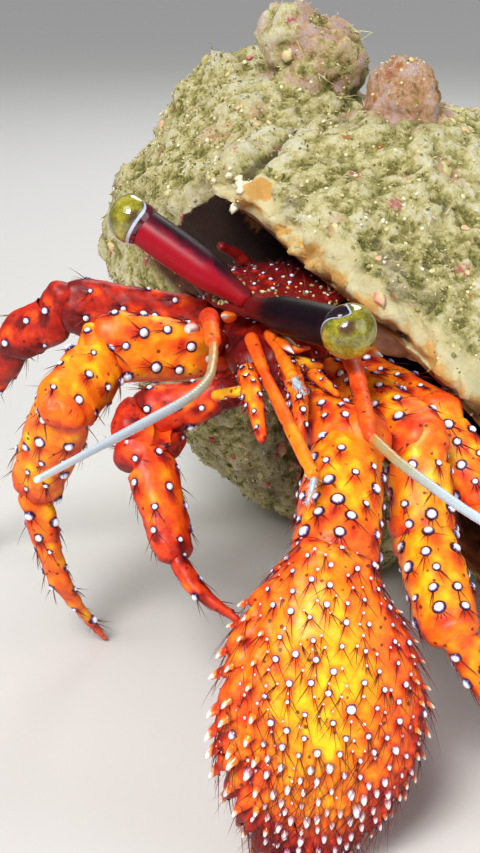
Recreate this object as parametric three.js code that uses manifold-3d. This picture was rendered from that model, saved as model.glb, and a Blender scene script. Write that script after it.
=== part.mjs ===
// Hermit crab (Dardanus megistos) carrying an overgrown gastropod shell, life size.
// Millimetres, +Z up. The crab faces -Y and its left side is +X. Z = 0 is the floor.
// Every limb segment is a lofted solid between two joint centres. Where two neighbours
// meet, the one further out is cut back by the nearer one, which leaves a thin joint gap.
import * as THREE from 'three';
import { mergeVertices } from 'three/addons/utils/BufferGeometryUtils.js';
import Module from 'manifold-3d';

const wasm = await Module();
wasm.setup();

// ---- driving dimensions (mm) ----
const GAP = 0.35;              // clearance between neighbouring solids
const FLOOR_DIP = 0.5;         // how far a tip reaches below the floor before it is cut flat

const SHIELD = { front: 8.5, back: 37, middle: 6, halfWidth: 12, top: 66.5 };
const STALK_RADIUS = 2.9;      // eyestalk
const CORNEA = { across: 3.75, along: 3.0 };
const CLAW = { halfWidth: 12.9, halfThick: 6.6 };

// Shell: a section swept round the shell axis. Lengths are those at the mouth.
const SHELL = {
  apexDirection: new THREE.Vector3(-0.34, 0.54, 0.77),
  lipDirection: new THREE.Vector3(-0.03, -0.78, 0.62),
  lipMiddle: new THREE.Vector3(23, 6, 61.5),
  growth: 1.85,                // size ratio from one whorl to the next
  lipRadius: 60,               // axis to outer lip
  halfWidth: 25,               // aperture, across
  halfLength: 46,              // aperture, along the axis
  apexRise: 92,                // aperture centre to apex, along the axis
  wall: 2.8,
  slant: 0.06,                 // how far the lip leads at its apex end, in turns
  whorls: 2.25,
};

// ---- small helpers ----
const V = (x, y, z) => new THREE.Vector3(x, y, z);
const clamp01 = (x) => Math.min(1, Math.max(0, x));

function smooth(t) {
  const s = clamp01(t);
  return s * s * (3 - 2 * s);
}

// Reads a value between the knots [[t, value], ...], in a straight line from knot to knot.
function along(knots, t) {
  for (let i = 1; i < knots.length; i += 1) {
    const [t0, v0] = knots[i - 1];
    const [t1, v1] = knots[i];
    if (t <= t1) {
      return v0 + (v1 - v0) * clamp01((t - t0) / (t1 - t0));
    }
  }
  return knots[knots.length - 1][1];
}

function signedVolume(geometry) {
  const p = geometry.attributes.position;
  const index = geometry.index.array;
  const a = V(0, 0, 0);
  const b = V(0, 0, 0);
  const c = V(0, 0, 0);
  let sum = 0;
  for (let i = 0; i < index.length; i += 3) {
    a.fromBufferAttribute(p, index[i]);
    b.fromBufferAttribute(p, index[i + 1]);
    c.fromBufferAttribute(p, index[i + 2]);
    sum += a.dot(b.cross(c)) / 6;
  }
  return sum;
}

function toSolid(geometry) {
  geometry.deleteAttribute('normal');
  geometry.deleteAttribute('uv');
  const merged = mergeVertices(geometry, 1e-4);
  const triVerts = Uint32Array.from(merged.index.array);
  if (signedVolume(merged) < 0) {
    for (let i = 0; i < triVerts.length; i += 3) {
      const swap = triVerts[i];
      triVerts[i] = triVerts[i + 1];
      triVerts[i + 1] = swap;
    }
  }
  const vertProperties = Float32Array.from(merged.attributes.position.array);
  return new wasm.Manifold(new wasm.Mesh({ numProp: 3, vertProperties, triVerts }));
}

function toGeometry(solid) {
  const mesh = solid.getMesh();
  const geometry = new THREE.BufferGeometry();
  geometry.setAttribute('position', new THREE.BufferAttribute(mesh.vertProperties, 3));
  geometry.setIndex(new THREE.BufferAttribute(mesh.triVerts, 1));
  return geometry;
}

function largestBody(solid) {
  const bodies = solid.decompose();
  return bodies.reduce((best, body) => (body.volume() > best.volume() ? body : best));
}

// Joins rings of equal point count into a closed skin with a fan over each end.
function loft(rings) {
  const count = rings[0].length;
  const points = rings.flat();
  const index = [];
  for (let i = 0; i + 1 < rings.length; i += 1) {
    for (let j = 0; j < count; j += 1) {
      const k = (j + 1) % count;
      const a = i * count + j;
      const b = i * count + k;
      index.push(a, a + count, b, b, a + count, b + count);
    }
  }
  for (const [ring, flip] of [[0, false], [rings.length - 1, true]]) {
    const centre = V(0, 0, 0);
    rings[ring].forEach((p) => centre.add(p));
    centre.divideScalar(count);
    points.push(centre);
    for (let j = 0; j < count; j += 1) {
      const a = ring * count + j;
      const b = ring * count + ((j + 1) % count);
      index.push(points.length - 1, flip ? b : a, flip ? a : b);
    }
  }
  const geometry = new THREE.BufferGeometry();
  geometry.setAttribute('position', new THREE.BufferAttribute(
    Float32Array.from(points.flatMap((p) => [p.x, p.y, p.z])), 3));
  geometry.setIndex(index);
  return toSolid(geometry);
}

// A limb piece: elliptical sections along a smooth path. `high` and `wide` are knot lists
// of half sizes, `up` is the direction that `high` is measured in, `grow` thickens it.
function limb({ path, high, wide, up, sides = 8, steps = 5, round = 0.5 }, grow) {
  const curve = new THREE.CatmullRomCurve3(path);
  const length = curve.getLength();
  const rings = [];
  for (let i = 0; i <= steps + 2; i += 1) {
    const atStart = i === 0;
    const atEnd = i === steps + 2;
    const tip = atStart || atEnd ? round : 1;
    const t = clamp01((i - 1) / steps);
    const centre = curve.getPointAt(t);
    const tangent = curve.getTangentAt(t);
    const radius = Math.min(along(high, t), along(wide, t));
    const reach = (atStart ? -1 : atEnd ? 1 : 0) * (0.45 * radius * round + 0.02 * length);
    const edge = i === 1 ? -1 : i === steps + 1 ? 1 : Math.sign(reach);
    centre.addScaledVector(tangent, reach + edge * grow);
    const side = V(0, 0, 0).crossVectors(tangent, up).normalize();
    const top = V(0, 0, 0).crossVectors(side, tangent).normalize();
    const ring = [];
    for (let j = 0; j < sides; j += 1) {
      const angle = (2 * Math.PI * j) / sides;
      const w = along(wide, t) * tip + grow;
      const h = along(high, t) * tip + grow;
      ring.push(centre.clone()
        .addScaledVector(side, Math.cos(angle) * w)
        .addScaledVector(top, Math.sin(angle) * h));
    }
    rings.push(ring);
  }
  return loft(rings);
}

function ball(centre, radius) {
  const geometry = new THREE.SphereGeometry(radius, 8, 5);
  geometry.rotateX(Math.PI / 2);
  geometry.translate(centre.x, centre.y, centre.z);
  return toSolid(geometry);
}

function spine(base, direction, height, radius) {
  const geometry = new THREE.ConeGeometry(radius, height, 5);
  geometry.translate(0, height * 0.3, 0);
  geometry.applyQuaternion(new THREE.Quaternion().setFromUnitVectors(V(0, 1, 0),
    direction.clone().normalize()));
  geometry.translate(base.x, base.y, base.z);
  return toSolid(geometry);
}

function aboveFloor(solid) {
  const box = new THREE.BoxGeometry(400, 400, 200);
  box.translate(0, 0, 100);
  return solid.intersect(toSolid(box));
}

// ---- list of parts ----
const parts = new Map();

// `make(grow)` returns the solid, thickened by `grow`. `cutBy` names the parts whose
// thickened solids are cut away from it.
function part(name, material, make, cutBy = []) {
  parts.set(name, { material, make, cutBy });
}

const MATERIALS = {
  cuticle: new THREE.MeshStandardMaterial({ color: 0xe4501a, roughness: 0.35, metalness: 0 }),
  eyestalk: new THREE.MeshStandardMaterial({ color: 0x9a1030, roughness: 0.2, metalness: 0 }),
  cornea: new THREE.MeshStandardMaterial({ color: 0x8f9a2c, roughness: 0.1, metalness: 0 }),
  feeler: new THREE.MeshStandardMaterial({ color: 0xb9c4c8, roughness: 0.4, metalness: 0 }),
  soft: new THREE.MeshStandardMaterial({ color: 0xc98a6a, roughness: 0.5, metalness: 0 }),
  shell: new THREE.MeshStandardMaterial({ color: 0xc9bd84, roughness: 0.9, metalness: 0 }),
};

// ---- shell ----
const shellAxis = SHELL.apexDirection.clone().normalize();
const shellLip = SHELL.lipDirection.clone()
  .addScaledVector(shellAxis, -SHELL.lipDirection.dot(shellAxis)).normalize();
const shellMouth = V(0, 0, 0).crossVectors(shellLip, shellAxis);
const axisAtMouth = SHELL.lipMiddle.clone().addScaledVector(shellLip, -SHELL.lipRadius);
const apex = axisAtMouth.clone().addScaledVector(shellAxis, SHELL.apexRise);

const shellScale = (turn) => SHELL.growth ** turn;

// Point of the shell at `turn` whorls from the mouth (0 at the lip, negative inwards),
// `out` from the axis and `down` below the apex, both at mouth size.
function shellPoint(turn, out, down) {
  const angle = 2 * Math.PI * turn;
  const k = shellScale(turn);
  const radial = shellLip.clone().multiplyScalar(Math.cos(angle))
    .addScaledVector(shellMouth, Math.sin(angle));
  return apex.clone().addScaledVector(shellAxis, -down * k).addScaledVector(radial, out * k);
}

// Overgrowth on the shoulder of each whorl: blunt knobs that fade towards the base.
function lump(turn, angle) {
  const shoulder = Math.exp(-(((angle - 0.9) / 0.55) ** 2));
  const keel = Math.exp(-(((angle + 0.35) / 0.5) ** 2));
  const knobs = 0.5 + 0.5 * Math.cos(2 * Math.PI * turn * 7 + 0.6);
  const rough = Math.sin(turn * 37 + angle * 5) * Math.sin(angle * 3 - turn * 11);
  return 3.4 * shoulder * knobs + 1.6 * keel * (1 - knobs) + 0.9 * rough;
}

function shellRing(turn, { inset = 0, count = 14, lumps = true, flare = 0 }) {
  const centreOut = SHELL.lipRadius - SHELL.halfWidth;
  const ring = [];
  for (let j = 0; j < count; j += 1) {
    const angle = (2 * Math.PI * j) / count;
    const c = Math.cos(angle);
    const s = Math.sin(angle);
    const width = SHELL.halfWidth - inset + flare;
    const length = SHELL.halfLength - inset + flare;
    const canal = s < 0 ? 1 + 0.22 * s * s * s * s : 1;
    const bump = lumps ? lump(turn, angle > Math.PI ? angle - 2 * Math.PI : angle) : 0;
    const out = centreOut + (width + bump * Math.max(0, c + 0.35)) * c;
    const down = SHELL.apexRise - length * s * canal - bump * 0.4 * Math.max(0, s);
    ring.push(shellPoint(turn + SHELL.slant * s, Math.max(out, 1.2), down));
  }
  return ring;
}

function shellSweep(from, to, steps, options) {
  const rings = [];
  for (let i = 0; i <= steps; i += 1) {
    const turn = from + ((to - from) * i) / steps;
    const flare = (options.flare ?? 0) * smooth((turn + 0.05) / 0.05);
    rings.push(shellRing(turn, { ...options, flare }));
  }
  return loft(rings);
}

// Point on the outside of the section, `tilt` degrees from the periphery towards the apex.
function shellSurface(turn, tilt) {
  const angle = (tilt * Math.PI) / 180;
  const out = SHELL.lipRadius - SHELL.halfWidth + SHELL.halfWidth * Math.cos(angle);
  const down = SHELL.apexRise - SHELL.halfLength * Math.sin(angle);
  return shellPoint(turn + SHELL.slant * Math.sin(angle), out, down);
}

const COLUMELLA = { below: 26, radius: 13.5 };

// Rounded lumps of coralline growth: `lift` is the height of their centre above the whorl.
const KNOBS = [
  { turn: -0.12, tilt: 56, lift: 3.2, radius: 6.6 },
  { turn: -1.15, tilt: 56, lift: 0, radius: 10 },
  { turn: -1.12, tilt: 64, lift: 5.5, radius: 7 },
  { turn: -0.01, tilt: 60, lift: -1.5, radius: 3.6 },
];

// Solid pillar along the shell axis, from its foot below the mouth to the apex.
function columella() {
  const foot = axisAtMouth.clone().addScaledVector(shellAxis, -COLUMELLA.below);
  const height = foot.distanceTo(apex);
  const cone = new THREE.ConeGeometry(COLUMELLA.radius, height, 7);
  cone.applyQuaternion(new THREE.Quaternion().setFromUnitVectors(V(0, 1, 0), shellAxis));
  const middle = foot.lerp(apex, 0.5);
  cone.translate(middle.x, middle.y, middle.z);
  return toSolid(cone);
}

function makeShell(grow) {
  const outer = { inset: -grow };
  const inner = { inset: SHELL.wall + grow, count: 9, lumps: false };
  const lastWhorl = shellSweep(-0.5, 0, 8, { ...outer, flare: 1.5 })
    .add(shellSweep(-0.95, -0.5, 5, outer));
  const cavity = shellSweep(-0.5, 0.02, 7, inner).add(shellSweep(-0.62, -0.5, 2, inner));
  let shell = lastWhorl.subtract(cavity);
  for (let turn = -0.9; turn > -SHELL.whorls; turn -= 0.45) {
    shell = shell.add(shellSweep(turn - 0.45, turn, 4, { ...outer, count: 11 }));
  }
  shell = shell.add(columella());
  for (const { turn, tilt, lift, radius } of KNOBS) {
    const foot = shellSurface(turn, tilt);
    const centre = foot.addScaledVector(V(0, -0.1, 1).normalize(), lift);
    shell = shell.add(ball(centre, radius + grow));
  }
  return aboveFloor(shell);
}

part('shell', MATERIALS.shell, makeShell);

// Centre of the hollow, `turn` whorls in from the mouth.
function hollowCentre(turn) {
  return shellPoint(turn, SHELL.lipRadius - SHELL.halfWidth, SHELL.apexRise);
}

// ---- trunk ----
const UP = V(0, 0, 1);

function limbPart(name, material, shape, cutBy = []) {
  part(name, material, (grow) => limb(shape, grow), cutBy);
}

const shieldBottom = SHIELD.top - 6;
limbPart('shield', MATERIALS.cuticle, {
  path: [
    V(SHIELD.middle - 1, SHIELD.front, SHIELD.top - 2.6),
    V(SHIELD.middle, (SHIELD.front + SHIELD.back) / 2, SHIELD.top - 3),
    V(SHIELD.middle + 2, SHIELD.back, SHIELD.top - 5),
  ],
  high: [[0, 1.6], [0.3, 2.8], [1, 2.6]],
  wide: [[0, 8], [0.2, 11], [0.5, SHIELD.halfWidth], [1, 9]],
  up: UP,
});
limbPart('thorax', MATERIALS.cuticle, {
  path: [V(4.5, 5, 56), V(6, 18, shieldBottom - 4.5), V(8, 36, shieldBottom - 5)],
  high: [[0, 3.6], [0.4, 5.6], [1, 5]],
  wide: [[0, 6.5], [0.4, 9.5], [1, 8.5]],
  up: UP,
}, ['shield']);
limbPart('carapace_rear', MATERIALS.soft, {
  path: [V(9, 35.5, 57), V(18, 38, 55.5), V(30, 38.5, 53)],
  high: [[0, 5.5], [0.4, 7], [1, 7]],
  wide: [[0, 6], [0.4, 7.5], [1, 7.5]],
  up: UP,
  steps: 3,
}, ['shield', 'thorax', 'shell']);
limbPart('abdomen', MATERIALS.soft, {
  path: [V(31, 38.7, 52.8), hollowCentre(-0.14), hollowCentre(-0.26), hollowCentre(-0.4)],
  high: [[0, 7.5], [0.3, 9], [0.8, 7], [1, 4]],
  wide: [[0, 8], [0.3, 9], [0.8, 7], [1, 4]],
  up: UP,
  steps: 6,
}, ['carapace_rear']);

// ---- eyes ----
const EYES = {
  right: { base: V(-1.6, 10.2, 66.8), cornea: V(-16.8, 16.2, 76.3) },
  left: { base: V(3.8, 5.2, 64.6), cornea: V(15.6, -8.2, 65.4) },
};
for (const [side, { base, cornea }] of Object.entries(EYES)) {
  const axis = cornea.clone().sub(base).normalize();
  const neck = cornea.clone().addScaledVector(axis, -CORNEA.along * 0.75);
  const cap = [[0, CORNEA.across * 0.8], [0.4, CORNEA.across], [0.75, CORNEA.across * 0.9],
    [1, CORNEA.across * 0.6]];
  limbPart(`cornea_${side}`, MATERIALS.cornea, {
    path: [neck, cornea.clone().addScaledVector(axis, CORNEA.along * 0.8)],
    high: cap,
    wide: cap,
    up: UP,
    steps: 4,
    round: 0.5,
  });
  limbPart(`eyestalk_${side}`, MATERIALS.eyestalk, {
    path: [base, neck.clone().addScaledVector(axis, -0.6)],
    high: [[0, 2.2], [0.2, 2.8], [0.6, STALK_RADIUS], [1, STALK_RADIUS * 1.1]],
    wide: [[0, 2.2], [0.2, 2.8], [0.6, STALK_RADIUS], [1, STALK_RADIUS * 1.1]],
    up: UP,
    steps: 4,
  }, [`cornea_${side}`, 'shield']);
}
parts.get('eyestalk_left').cutBy.push('eyestalk_right');

const EYE_SCALES = {
  right: [V(-1.8, 6.6, 63.2), V(-2.2, 2.6, 64.4), V(-2.6, -0.4, 65.4)],
  left: [V(5.6, 2.8, 60.6), V(6.8, -1.6, 61), V(7.6, -4.6, 61.2)],
};
for (const [side, path] of Object.entries(EYE_SCALES)) {
  limbPart(`eye_scale_${side}`, MATERIALS.cuticle, {
    path,
    high: [[0, 0.9], [1, 0.5]],
    wide: [[0, 1.5], [0.5, 1.2], [1, 0.4]],
    up: UP,
    sides: 6,
    steps: 3,
  }, ['eyestalk_right', 'eyestalk_left', 'shield', 'thorax', 'antenna_base_right']);
}

// ---- antennae ----
const WHIP = {
  root: 0.8,                   // half thickness at the peduncle
  middle: 0.68,
  tip: 0.36,
  split: 0.48,                 // where the whip is parted into two nodes, as a share
  gap: 0.012,
};
const ANTENNAE = {
  right: {
    base: [V(-4.6, 7, 62.4), V(-4.4, 2.5, 63.6), V(-3.8, -3.2, 61.9)],
    baseRadius: [[0, 1.9], [0.45, 1.5], [0.9, 1.35], [1, 1.6]],
    whip: [
      V(-3.8, -4, 61.7), V(-3.5, -9.2, 60.4), V(-5.4, -16.9, 59.8),
      V(-11.2, -32.4, 61.3), V(-15.8, -47.5, 63.8), V(-20.3, -67.3, 68),
    ],
    scale: [V(-6.6, 6.5, 61.8), V(-7.6, 2, 62.6), V(-7.4, -2, 63.4)],
  },
  left: {
    base: [V(14, 6.5, 60.3), V(16.2, -1.5, 60), V(16.8, -6, 58.2), V(17.2, -22.6, 55.6)],
    baseRadius: [[0, 2.1], [0.3, 1.8], [0.45, 1.3], [0.9, 1.45], [1, 1.7]],
    whip: [
      V(17.3, -23.6, 55.4), V(20.4, -28, 54), V(23.6, -35.3, 53.8),
      V(27.9, -46.8, 54.4), V(31.5, -57, 56), V(34, -66, 58.5),
    ],
    scale: [V(18.2, 4, 59.6), V(19.8, -0.5, 59.8), V(20.4, -4.5, 60.6)],
  },
};
for (const [side, antenna] of Object.entries(ANTENNAE)) {
  limbPart(`antenna_base_${side}`, MATERIALS.cuticle, {
    path: antenna.base,
    high: antenna.baseRadius,
    wide: antenna.baseRadius,
    up: V(1, 0, 0.2),
    sides: 8,
    steps: 5,
  }, ['shield', 'thorax', `eyestalk_${side}`]);
  limbPart(`antenna_scale_${side}`, MATERIALS.cuticle, {
    path: antenna.scale,
    high: [[0, 0.9], [1, 0.45]],
    wide: [[0, 1.3], [0.5, 1.1], [1, 0.4]],
    up: UP,
    sides: 6,
    steps: 3,
  }, [`antenna_base_${side}`, 'shield', 'thorax']);
  const whip = new THREE.CatmullRomCurve3(antenna.whip);
  const stretch = (from, to) => [0, 1, 2, 3, 4, 5]
    .map((i) => whip.getPointAt(from + ((to - from) * i) / 5));
  const innerTaper = [[0, WHIP.root], [1, WHIP.middle]];
  const outerTaper = [[0, WHIP.middle], [1, WHIP.tip]];
  limbPart(`antenna_inner_${side}`, MATERIALS.feeler, {
    path: stretch(0, WHIP.split),
    high: innerTaper,
    wide: innerTaper,
    up: V(0.9, 0, 0.3),
    sides: 5,
    steps: 6,
  }, [`antenna_base_${side}`]);
  limbPart(`antenna_outer_${side}`, MATERIALS.feeler, {
    path: stretch(WHIP.split + WHIP.gap, 1),
    high: outerTaper,
    wide: outerTaper,
    up: V(0.9, 0, 0.3),
    sides: 5,
    steps: 6,
  }, [`antenna_inner_${side}`]);
}

const ANTENNULES = {
  right: {
    base: [V(1.6, 5, 60.6), V(2.6, -1, 59.2), V(9.6, -26.5, 51.4)],
    tip: [V(9.7, -27.2, 51.2), V(9.2, -30.5, 50.8), V(8.6, -33.6, 50.8)],
  },
  left: {
    base: [V(4.6, 4.6, 61), V(5.8, -2.5, 60.6), V(7.4, -9, 59)],
    tip: [V(7.6, -9.7, 58.8), V(8.4, -12.4, 58.4), V(8.6, -15, 58.8)],
  },
};
for (const [side, antennule] of Object.entries(ANTENNULES)) {
  limbPart(`antennule_base_${side}`, MATERIALS.cuticle, {
    path: antennule.base,
    high: [[0, 1.3], [0.25, 0.85], [0.9, 1.2], [1, 1.0]],
    wide: [[0, 1.3], [0.25, 0.85], [0.9, 1.2], [1, 1.0]],
    up: V(1, 0, 0.2),
    sides: 6,
    steps: 3,
  }, ['thorax', 'shield', 'eye_scale_left', 'eye_scale_right', 'eyestalk_left']);
  limbPart(`antennule_tip_${side}`, MATERIALS.feeler, {
    path: antennule.tip,
    high: [[0, 0.8], [1, 0.35]],
    wide: [[0, 0.8], [1, 0.35]],
    up: V(1, 0, 0.2),
    sides: 6,
    steps: 2,
  }, [`antennule_base_${side}`]);
}

const MAXILLIPEDS = {
  right: [V(1.8, 5, 53.5), V(1, -2, 57), V(1.8, -10, 56.6), V(3, -17, 52.7)],
  left: [V(7.5, 4, 55), V(7.4, -3, 57.6), V(8.6, -10, 56), V(8.2, -15, 51.5)],
};
for (const [side, path] of Object.entries(MAXILLIPEDS)) {
  limbPart(`maxilliped_${side}`, MATERIALS.cuticle, {
    path,
    high: [[0, 2], [0.35, 1.9], [0.75, 1.5], [1, 0.8]],
    wide: [[0, 1.7], [0.35, 1.6], [0.75, 1.3], [1, 0.7]],
    up: V(0.2, 0.3, 1),
    sides: 6,
    steps: 4,
  }, ['thorax', 'antennule_base_right', 'antennule_base_left', 'antenna_base_right']);
}

// ---- legs and claws ----
// A limb is a row of joint centres. Each segment between two of them has half heights at
// its start, middle and end; `flat` is the thickness as a share of the height, and `bow`
// bends the dactyl.
const SEGMENTS = [
  { name: 'ischium', sides: 6, steps: 2 },
  { name: 'merus', sides: 7, steps: 3 },
  { name: 'carpus', sides: 7, steps: 3 },
  { name: 'propodus', sides: 7, steps: 3 },
  { name: 'dactyl', sides: 6, steps: 4 },
];
const DACTYL = SEGMENTS.length - 1;

const LIMBS = {
  claw_right: {
    up: V(-0.7, 0.1, 0.7),
    flat: 0.8,
    joints: [
      V(1.5, 6, 52.5), V(-2, 1.5, 52.8), V(-13.2, 1, 49.6), V(-13.9, -2.6, 45.5),
      V(-9.9, -11.9, 33.6), V(-0.4, -19.4, 25.9),
    ],
    halves: [[2.6, 2.8, 2.4], [2.6, 3.6, 4.2], [4.2, 4.9, 4.6], [4.4, 4.2, 2.9], [1.9, 1.7, 0.6]],
    bow: V(-1.2, -0.6, -0.6),
    cutBy: ['maxilliped_right'],
  },
  claw_left: {
    up: V(0, 0.4, 1),
    flat: 1.05,
    joints: [V(8.5, 6, 51), V(9.3, 2.5, 51.2), V(15.3, -11, 49.8), V(12.6, -28.6, 40.6)],
    halves: [[3.2, 3.6, 3.4], [3.6, 4.6, 4.8], [4.6, 6, 5.2]],
    cutBy: ['maxilliped_left', 'claw_right_ischium', 'antenna_base_left'],
  },
  leg2_right: {
    up: V(-0.7, 0, 0.7),
    flat: 0.6,
    joints: [
      V(-1.5, 13, 54), V(-5, 13.5, 55.4), V(-20, 11.5, 57), V(-26.2, -0.7, 51.4),
      V(-32.7, 7.8, 34.7), V(-23.4, 19.5, -FLOOR_DIP),
    ],
    halves: [[3, 3.6, 4], [4.4, 5.9, 5.8], [5, 5.4, 4.8], [5, 5.2, 3.9], [3.1, 2.5, 0.6]],
    bow: V(-2.6, -2.4, 0),
    cutBy: ['claw_right_merus', 'claw_right_ischium'],
  },
  leg3_right: {
    up: V(-0.7, 0, 0.7),
    flat: 0.6,
    joints: [
      V(-1.5, 22, 55), V(-6, 21.5, 58.5), V(-26.5, 20.5, 60.8), V(-36.5, 23, 55),
      V(-51, 34, 36), V(-52, 51, -FLOOR_DIP),
    ],
    halves: [[2.6, 3.2, 3.4], [3.8, 4.8, 4.8], [4.2, 4.5, 4], [3.8, 3.8, 3], [2.7, 2.2, 0.6]],
    bow: V(-4, 0, 0),
    cutBy: ['leg2_right_merus', 'leg2_right_ischium'],
  },
  leg2_left: {
    up: V(0.9, 0.1, 0.5),
    flat: 0.72,
    joints: [
      V(13, 12, 52.5), V(16.5, 10, 51.5), V(25.6, -8.6, 49.4), V(25.8, -16.6, 38.8),
      V(28, -31, 31.4), V(44, -33, -FLOOR_DIP),
    ],
    halves: [[2.8, 3.4, 3.8], [4, 4.9, 4.7], [4.4, 4.8, 4.5], [4.3, 4.8, 3.8], [3, 2.6, 0.6]],
    bow: V(3, -2.4, 0),
    cutBy: ['claw_left_merus', 'claw_left_carpus', 'antenna_scale_left'],
  },
  leg3_left: {
    up: V(0.9, 0.1, 0.5),
    flat: 0.66,
    joints: [
      V(14, 20.5, 52.5), V(18.5, 17.5, 51.6), V(29, 2, 49), V(35.5, -7.5, 40.5),
      V(49, -19, 31), V(65, -15, -FLOOR_DIP),
    ],
    halves: [[2.6, 3.2, 3.4], [3.6, 4.5, 4.3], [4.2, 4.6, 4.2], [4, 4.2, 3.2], [2.8, 2.3, 0.6]],
    bow: V(4, 0, 2),
    cutBy: ['leg2_left_merus', 'leg2_left_ischium', 'leg2_left_carpus'],
  },
};

for (const [limbName, spec] of Object.entries(LIMBS)) {
  spec.halves.forEach(([start, middle, end], i) => {
    const { name, sides, steps } = SEGMENTS[i];
    const from = spec.joints[i];
    const to = spec.joints[i + 1];
    const path = [from, to];
    if (i === DACTYL) {
      path.splice(1, 0, from.clone().lerp(to, 0.5).add(spec.bow));
    }
    const shape = {
      path,
      high: [[0, start], [0.5, middle], [1, end]],
      wide: [[0, start * spec.flat], [0.5, middle * spec.flat], [1, end * spec.flat]],
      up: spec.up,
      sides,
      steps,
      round: 0.6,
    };
    const before = i === 0 ? ['thorax', 'shield'] : [`${limbName}_${SEGMENTS[i - 1].name}`];
    part(`${limbName}_${name}`, MATERIALS.cuticle,
      (grow) => (i === DACTYL ? aboveFloor(limb(shape, grow)) : limb(shape, grow)),
      [...before, ...spec.cutBy.filter((other) => !before.includes(other))]);
  });
}

// Fourth and fifth legs: short, held against the trunk inside the shell mouth.
const SMALL_LEGS = {
  leg4_right: [V(-1, 30, 57.5), V(-6, 31, 61), V(-9, 27.5, 66)],
  leg4_left: [V(15, 30, 56), V(21, 29, 59), V(25, 23.5, 61)],
  leg5_right: [V(4, 36, 60), V(1, 37, 64), V(-3, 34.5, 67.5)],
  leg5_left: [V(24, 32, 57), V(28, 28, 60), V(29, 23, 62)],
};
for (const [name, path] of Object.entries(SMALL_LEGS)) {
  limbPart(name, MATERIALS.soft, {
    path,
    high: [[0, 1.8], [0.6, 1.6], [1, 0.9]],
    wide: [[0, 1.5], [0.6, 1.3], [1, 0.8]],
    up: V(0.2, 1, 0.3),
    sides: 5,
    steps: 3,
  }, ['thorax', 'shield', 'carapace_rear', 'leg3_right_merus', 'leg3_left_merus', 'shell']);
}

// ---- large left hand ----
// Seen from outside it is a broad fan that narrows to the two closed finger tips.
const handCurve = new THREE.CatmullRomCurve3([
  V(12.6, -29.6, 41.4), V(10.8, -34.2, 34.5), V(11.2, -38.6, 23.5),
  V(9.8, -40.6, 11), V(8.2, -41.4, -FLOOR_DIP),
]);
const HAND_HALF_WIDTH = [
  [0, 0.4], [0.08, 0.6], [0.2, 0.86], [0.32, 0.98], [0.45, 1.03],
  [0.56, 1], [0.68, 0.88], [0.8, 0.66], [0.92, 0.36], [1, 0.14],
].map(([t, share]) => [t, share * CLAW.halfWidth]);
const HAND_HALF_THICK = [
  [0, 0.62], [0.2, 0.95], [0.4, 1], [0.6, 0.85], [0.8, 0.5], [1, 0.2],
].map(([t, share]) => [t, share * CLAW.halfThick]);

// Spines along the inner edge of the hand, shorter towards the finger tips.
const HAND_SPINES = { count: 9, first: 0.14, step: 0.085, height: 3.4, taper: 1.2, radius: 1.15 };

function handSpines() {
  const spines = [];
  for (let i = 0; i < HAND_SPINES.count; i += 1) {
    const t = HAND_SPINES.first + i * HAND_SPINES.step;
    const reach = along(HAND_HALF_WIDTH, t);
    const base = handCurve.getPointAt(t).add(V(-reach + 0.5, -1.2, 0));
    const height = HAND_SPINES.height - HAND_SPINES.taper * t;
    spines.push(spine(base, V(-0.8, -0.25, -0.35 - 0.5 * t), height, HAND_SPINES.radius));
  }
  return spines;
}

function wholeHand(grow) {
  let hand = limb({
    path: handCurve.getPoints(8),
    high: HAND_HALF_THICK,
    wide: HAND_HALF_WIDTH,
    up: V(0, -1, 0.15),
    sides: 12,
    steps: 9,
    round: 0.7,
  }, grow);
  for (const thorn of handSpines()) {
    hand = hand.add(thorn);
  }
  return aboveFloor(hand);
}

// The movable finger is the inner lower part of the fan, parted by a slanting cut.
function fingerSide(grow) {
  const outline = new THREE.Shape([
    new THREE.Vector2(-30, 27 + grow), new THREE.Vector2(3 + grow, 20 + grow),
    new THREE.Vector2(8 + grow, 8), new THREE.Vector2(8.4 + grow, -5),
    new THREE.Vector2(-30, -5),
  ]);
  const prism = new THREE.ExtrudeGeometry(outline, { depth: 60, bevelEnabled: false });
  prism.rotateX(Math.PI / 2);
  prism.translate(0, -10, 0);
  return toSolid(prism);
}

part('claw_left_propodus', MATERIALS.cuticle,
  (grow) => wholeHand(grow).subtract(fingerSide(GAP)), ['claw_left_carpus']);
part('claw_left_dactyl', MATERIALS.cuticle,
  (grow) => wholeHand(grow).intersect(fingerSide(0)), ['claw_left_carpus']);

// ---- build ----
const crab = new THREE.Group();
for (const [name, { material, make, cutBy }] of parts) {
  let solid = make(0);
  for (const other of cutBy) {
    solid = solid.subtract(parts.get(other).make(GAP));
  }
  const mesh = new THREE.Mesh(toGeometry(largestBody(solid)), material);
  mesh.name = name;
  crab.add(mesh);
}

// The origin is the middle of the underside of the bounding box.
const box = new THREE.Box3().setFromObject(crab);
const middle = box.getCenter(V(0, 0, 0));
crab.position.set(-middle.x, -middle.y, -box.min.z);

export default crab;
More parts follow.
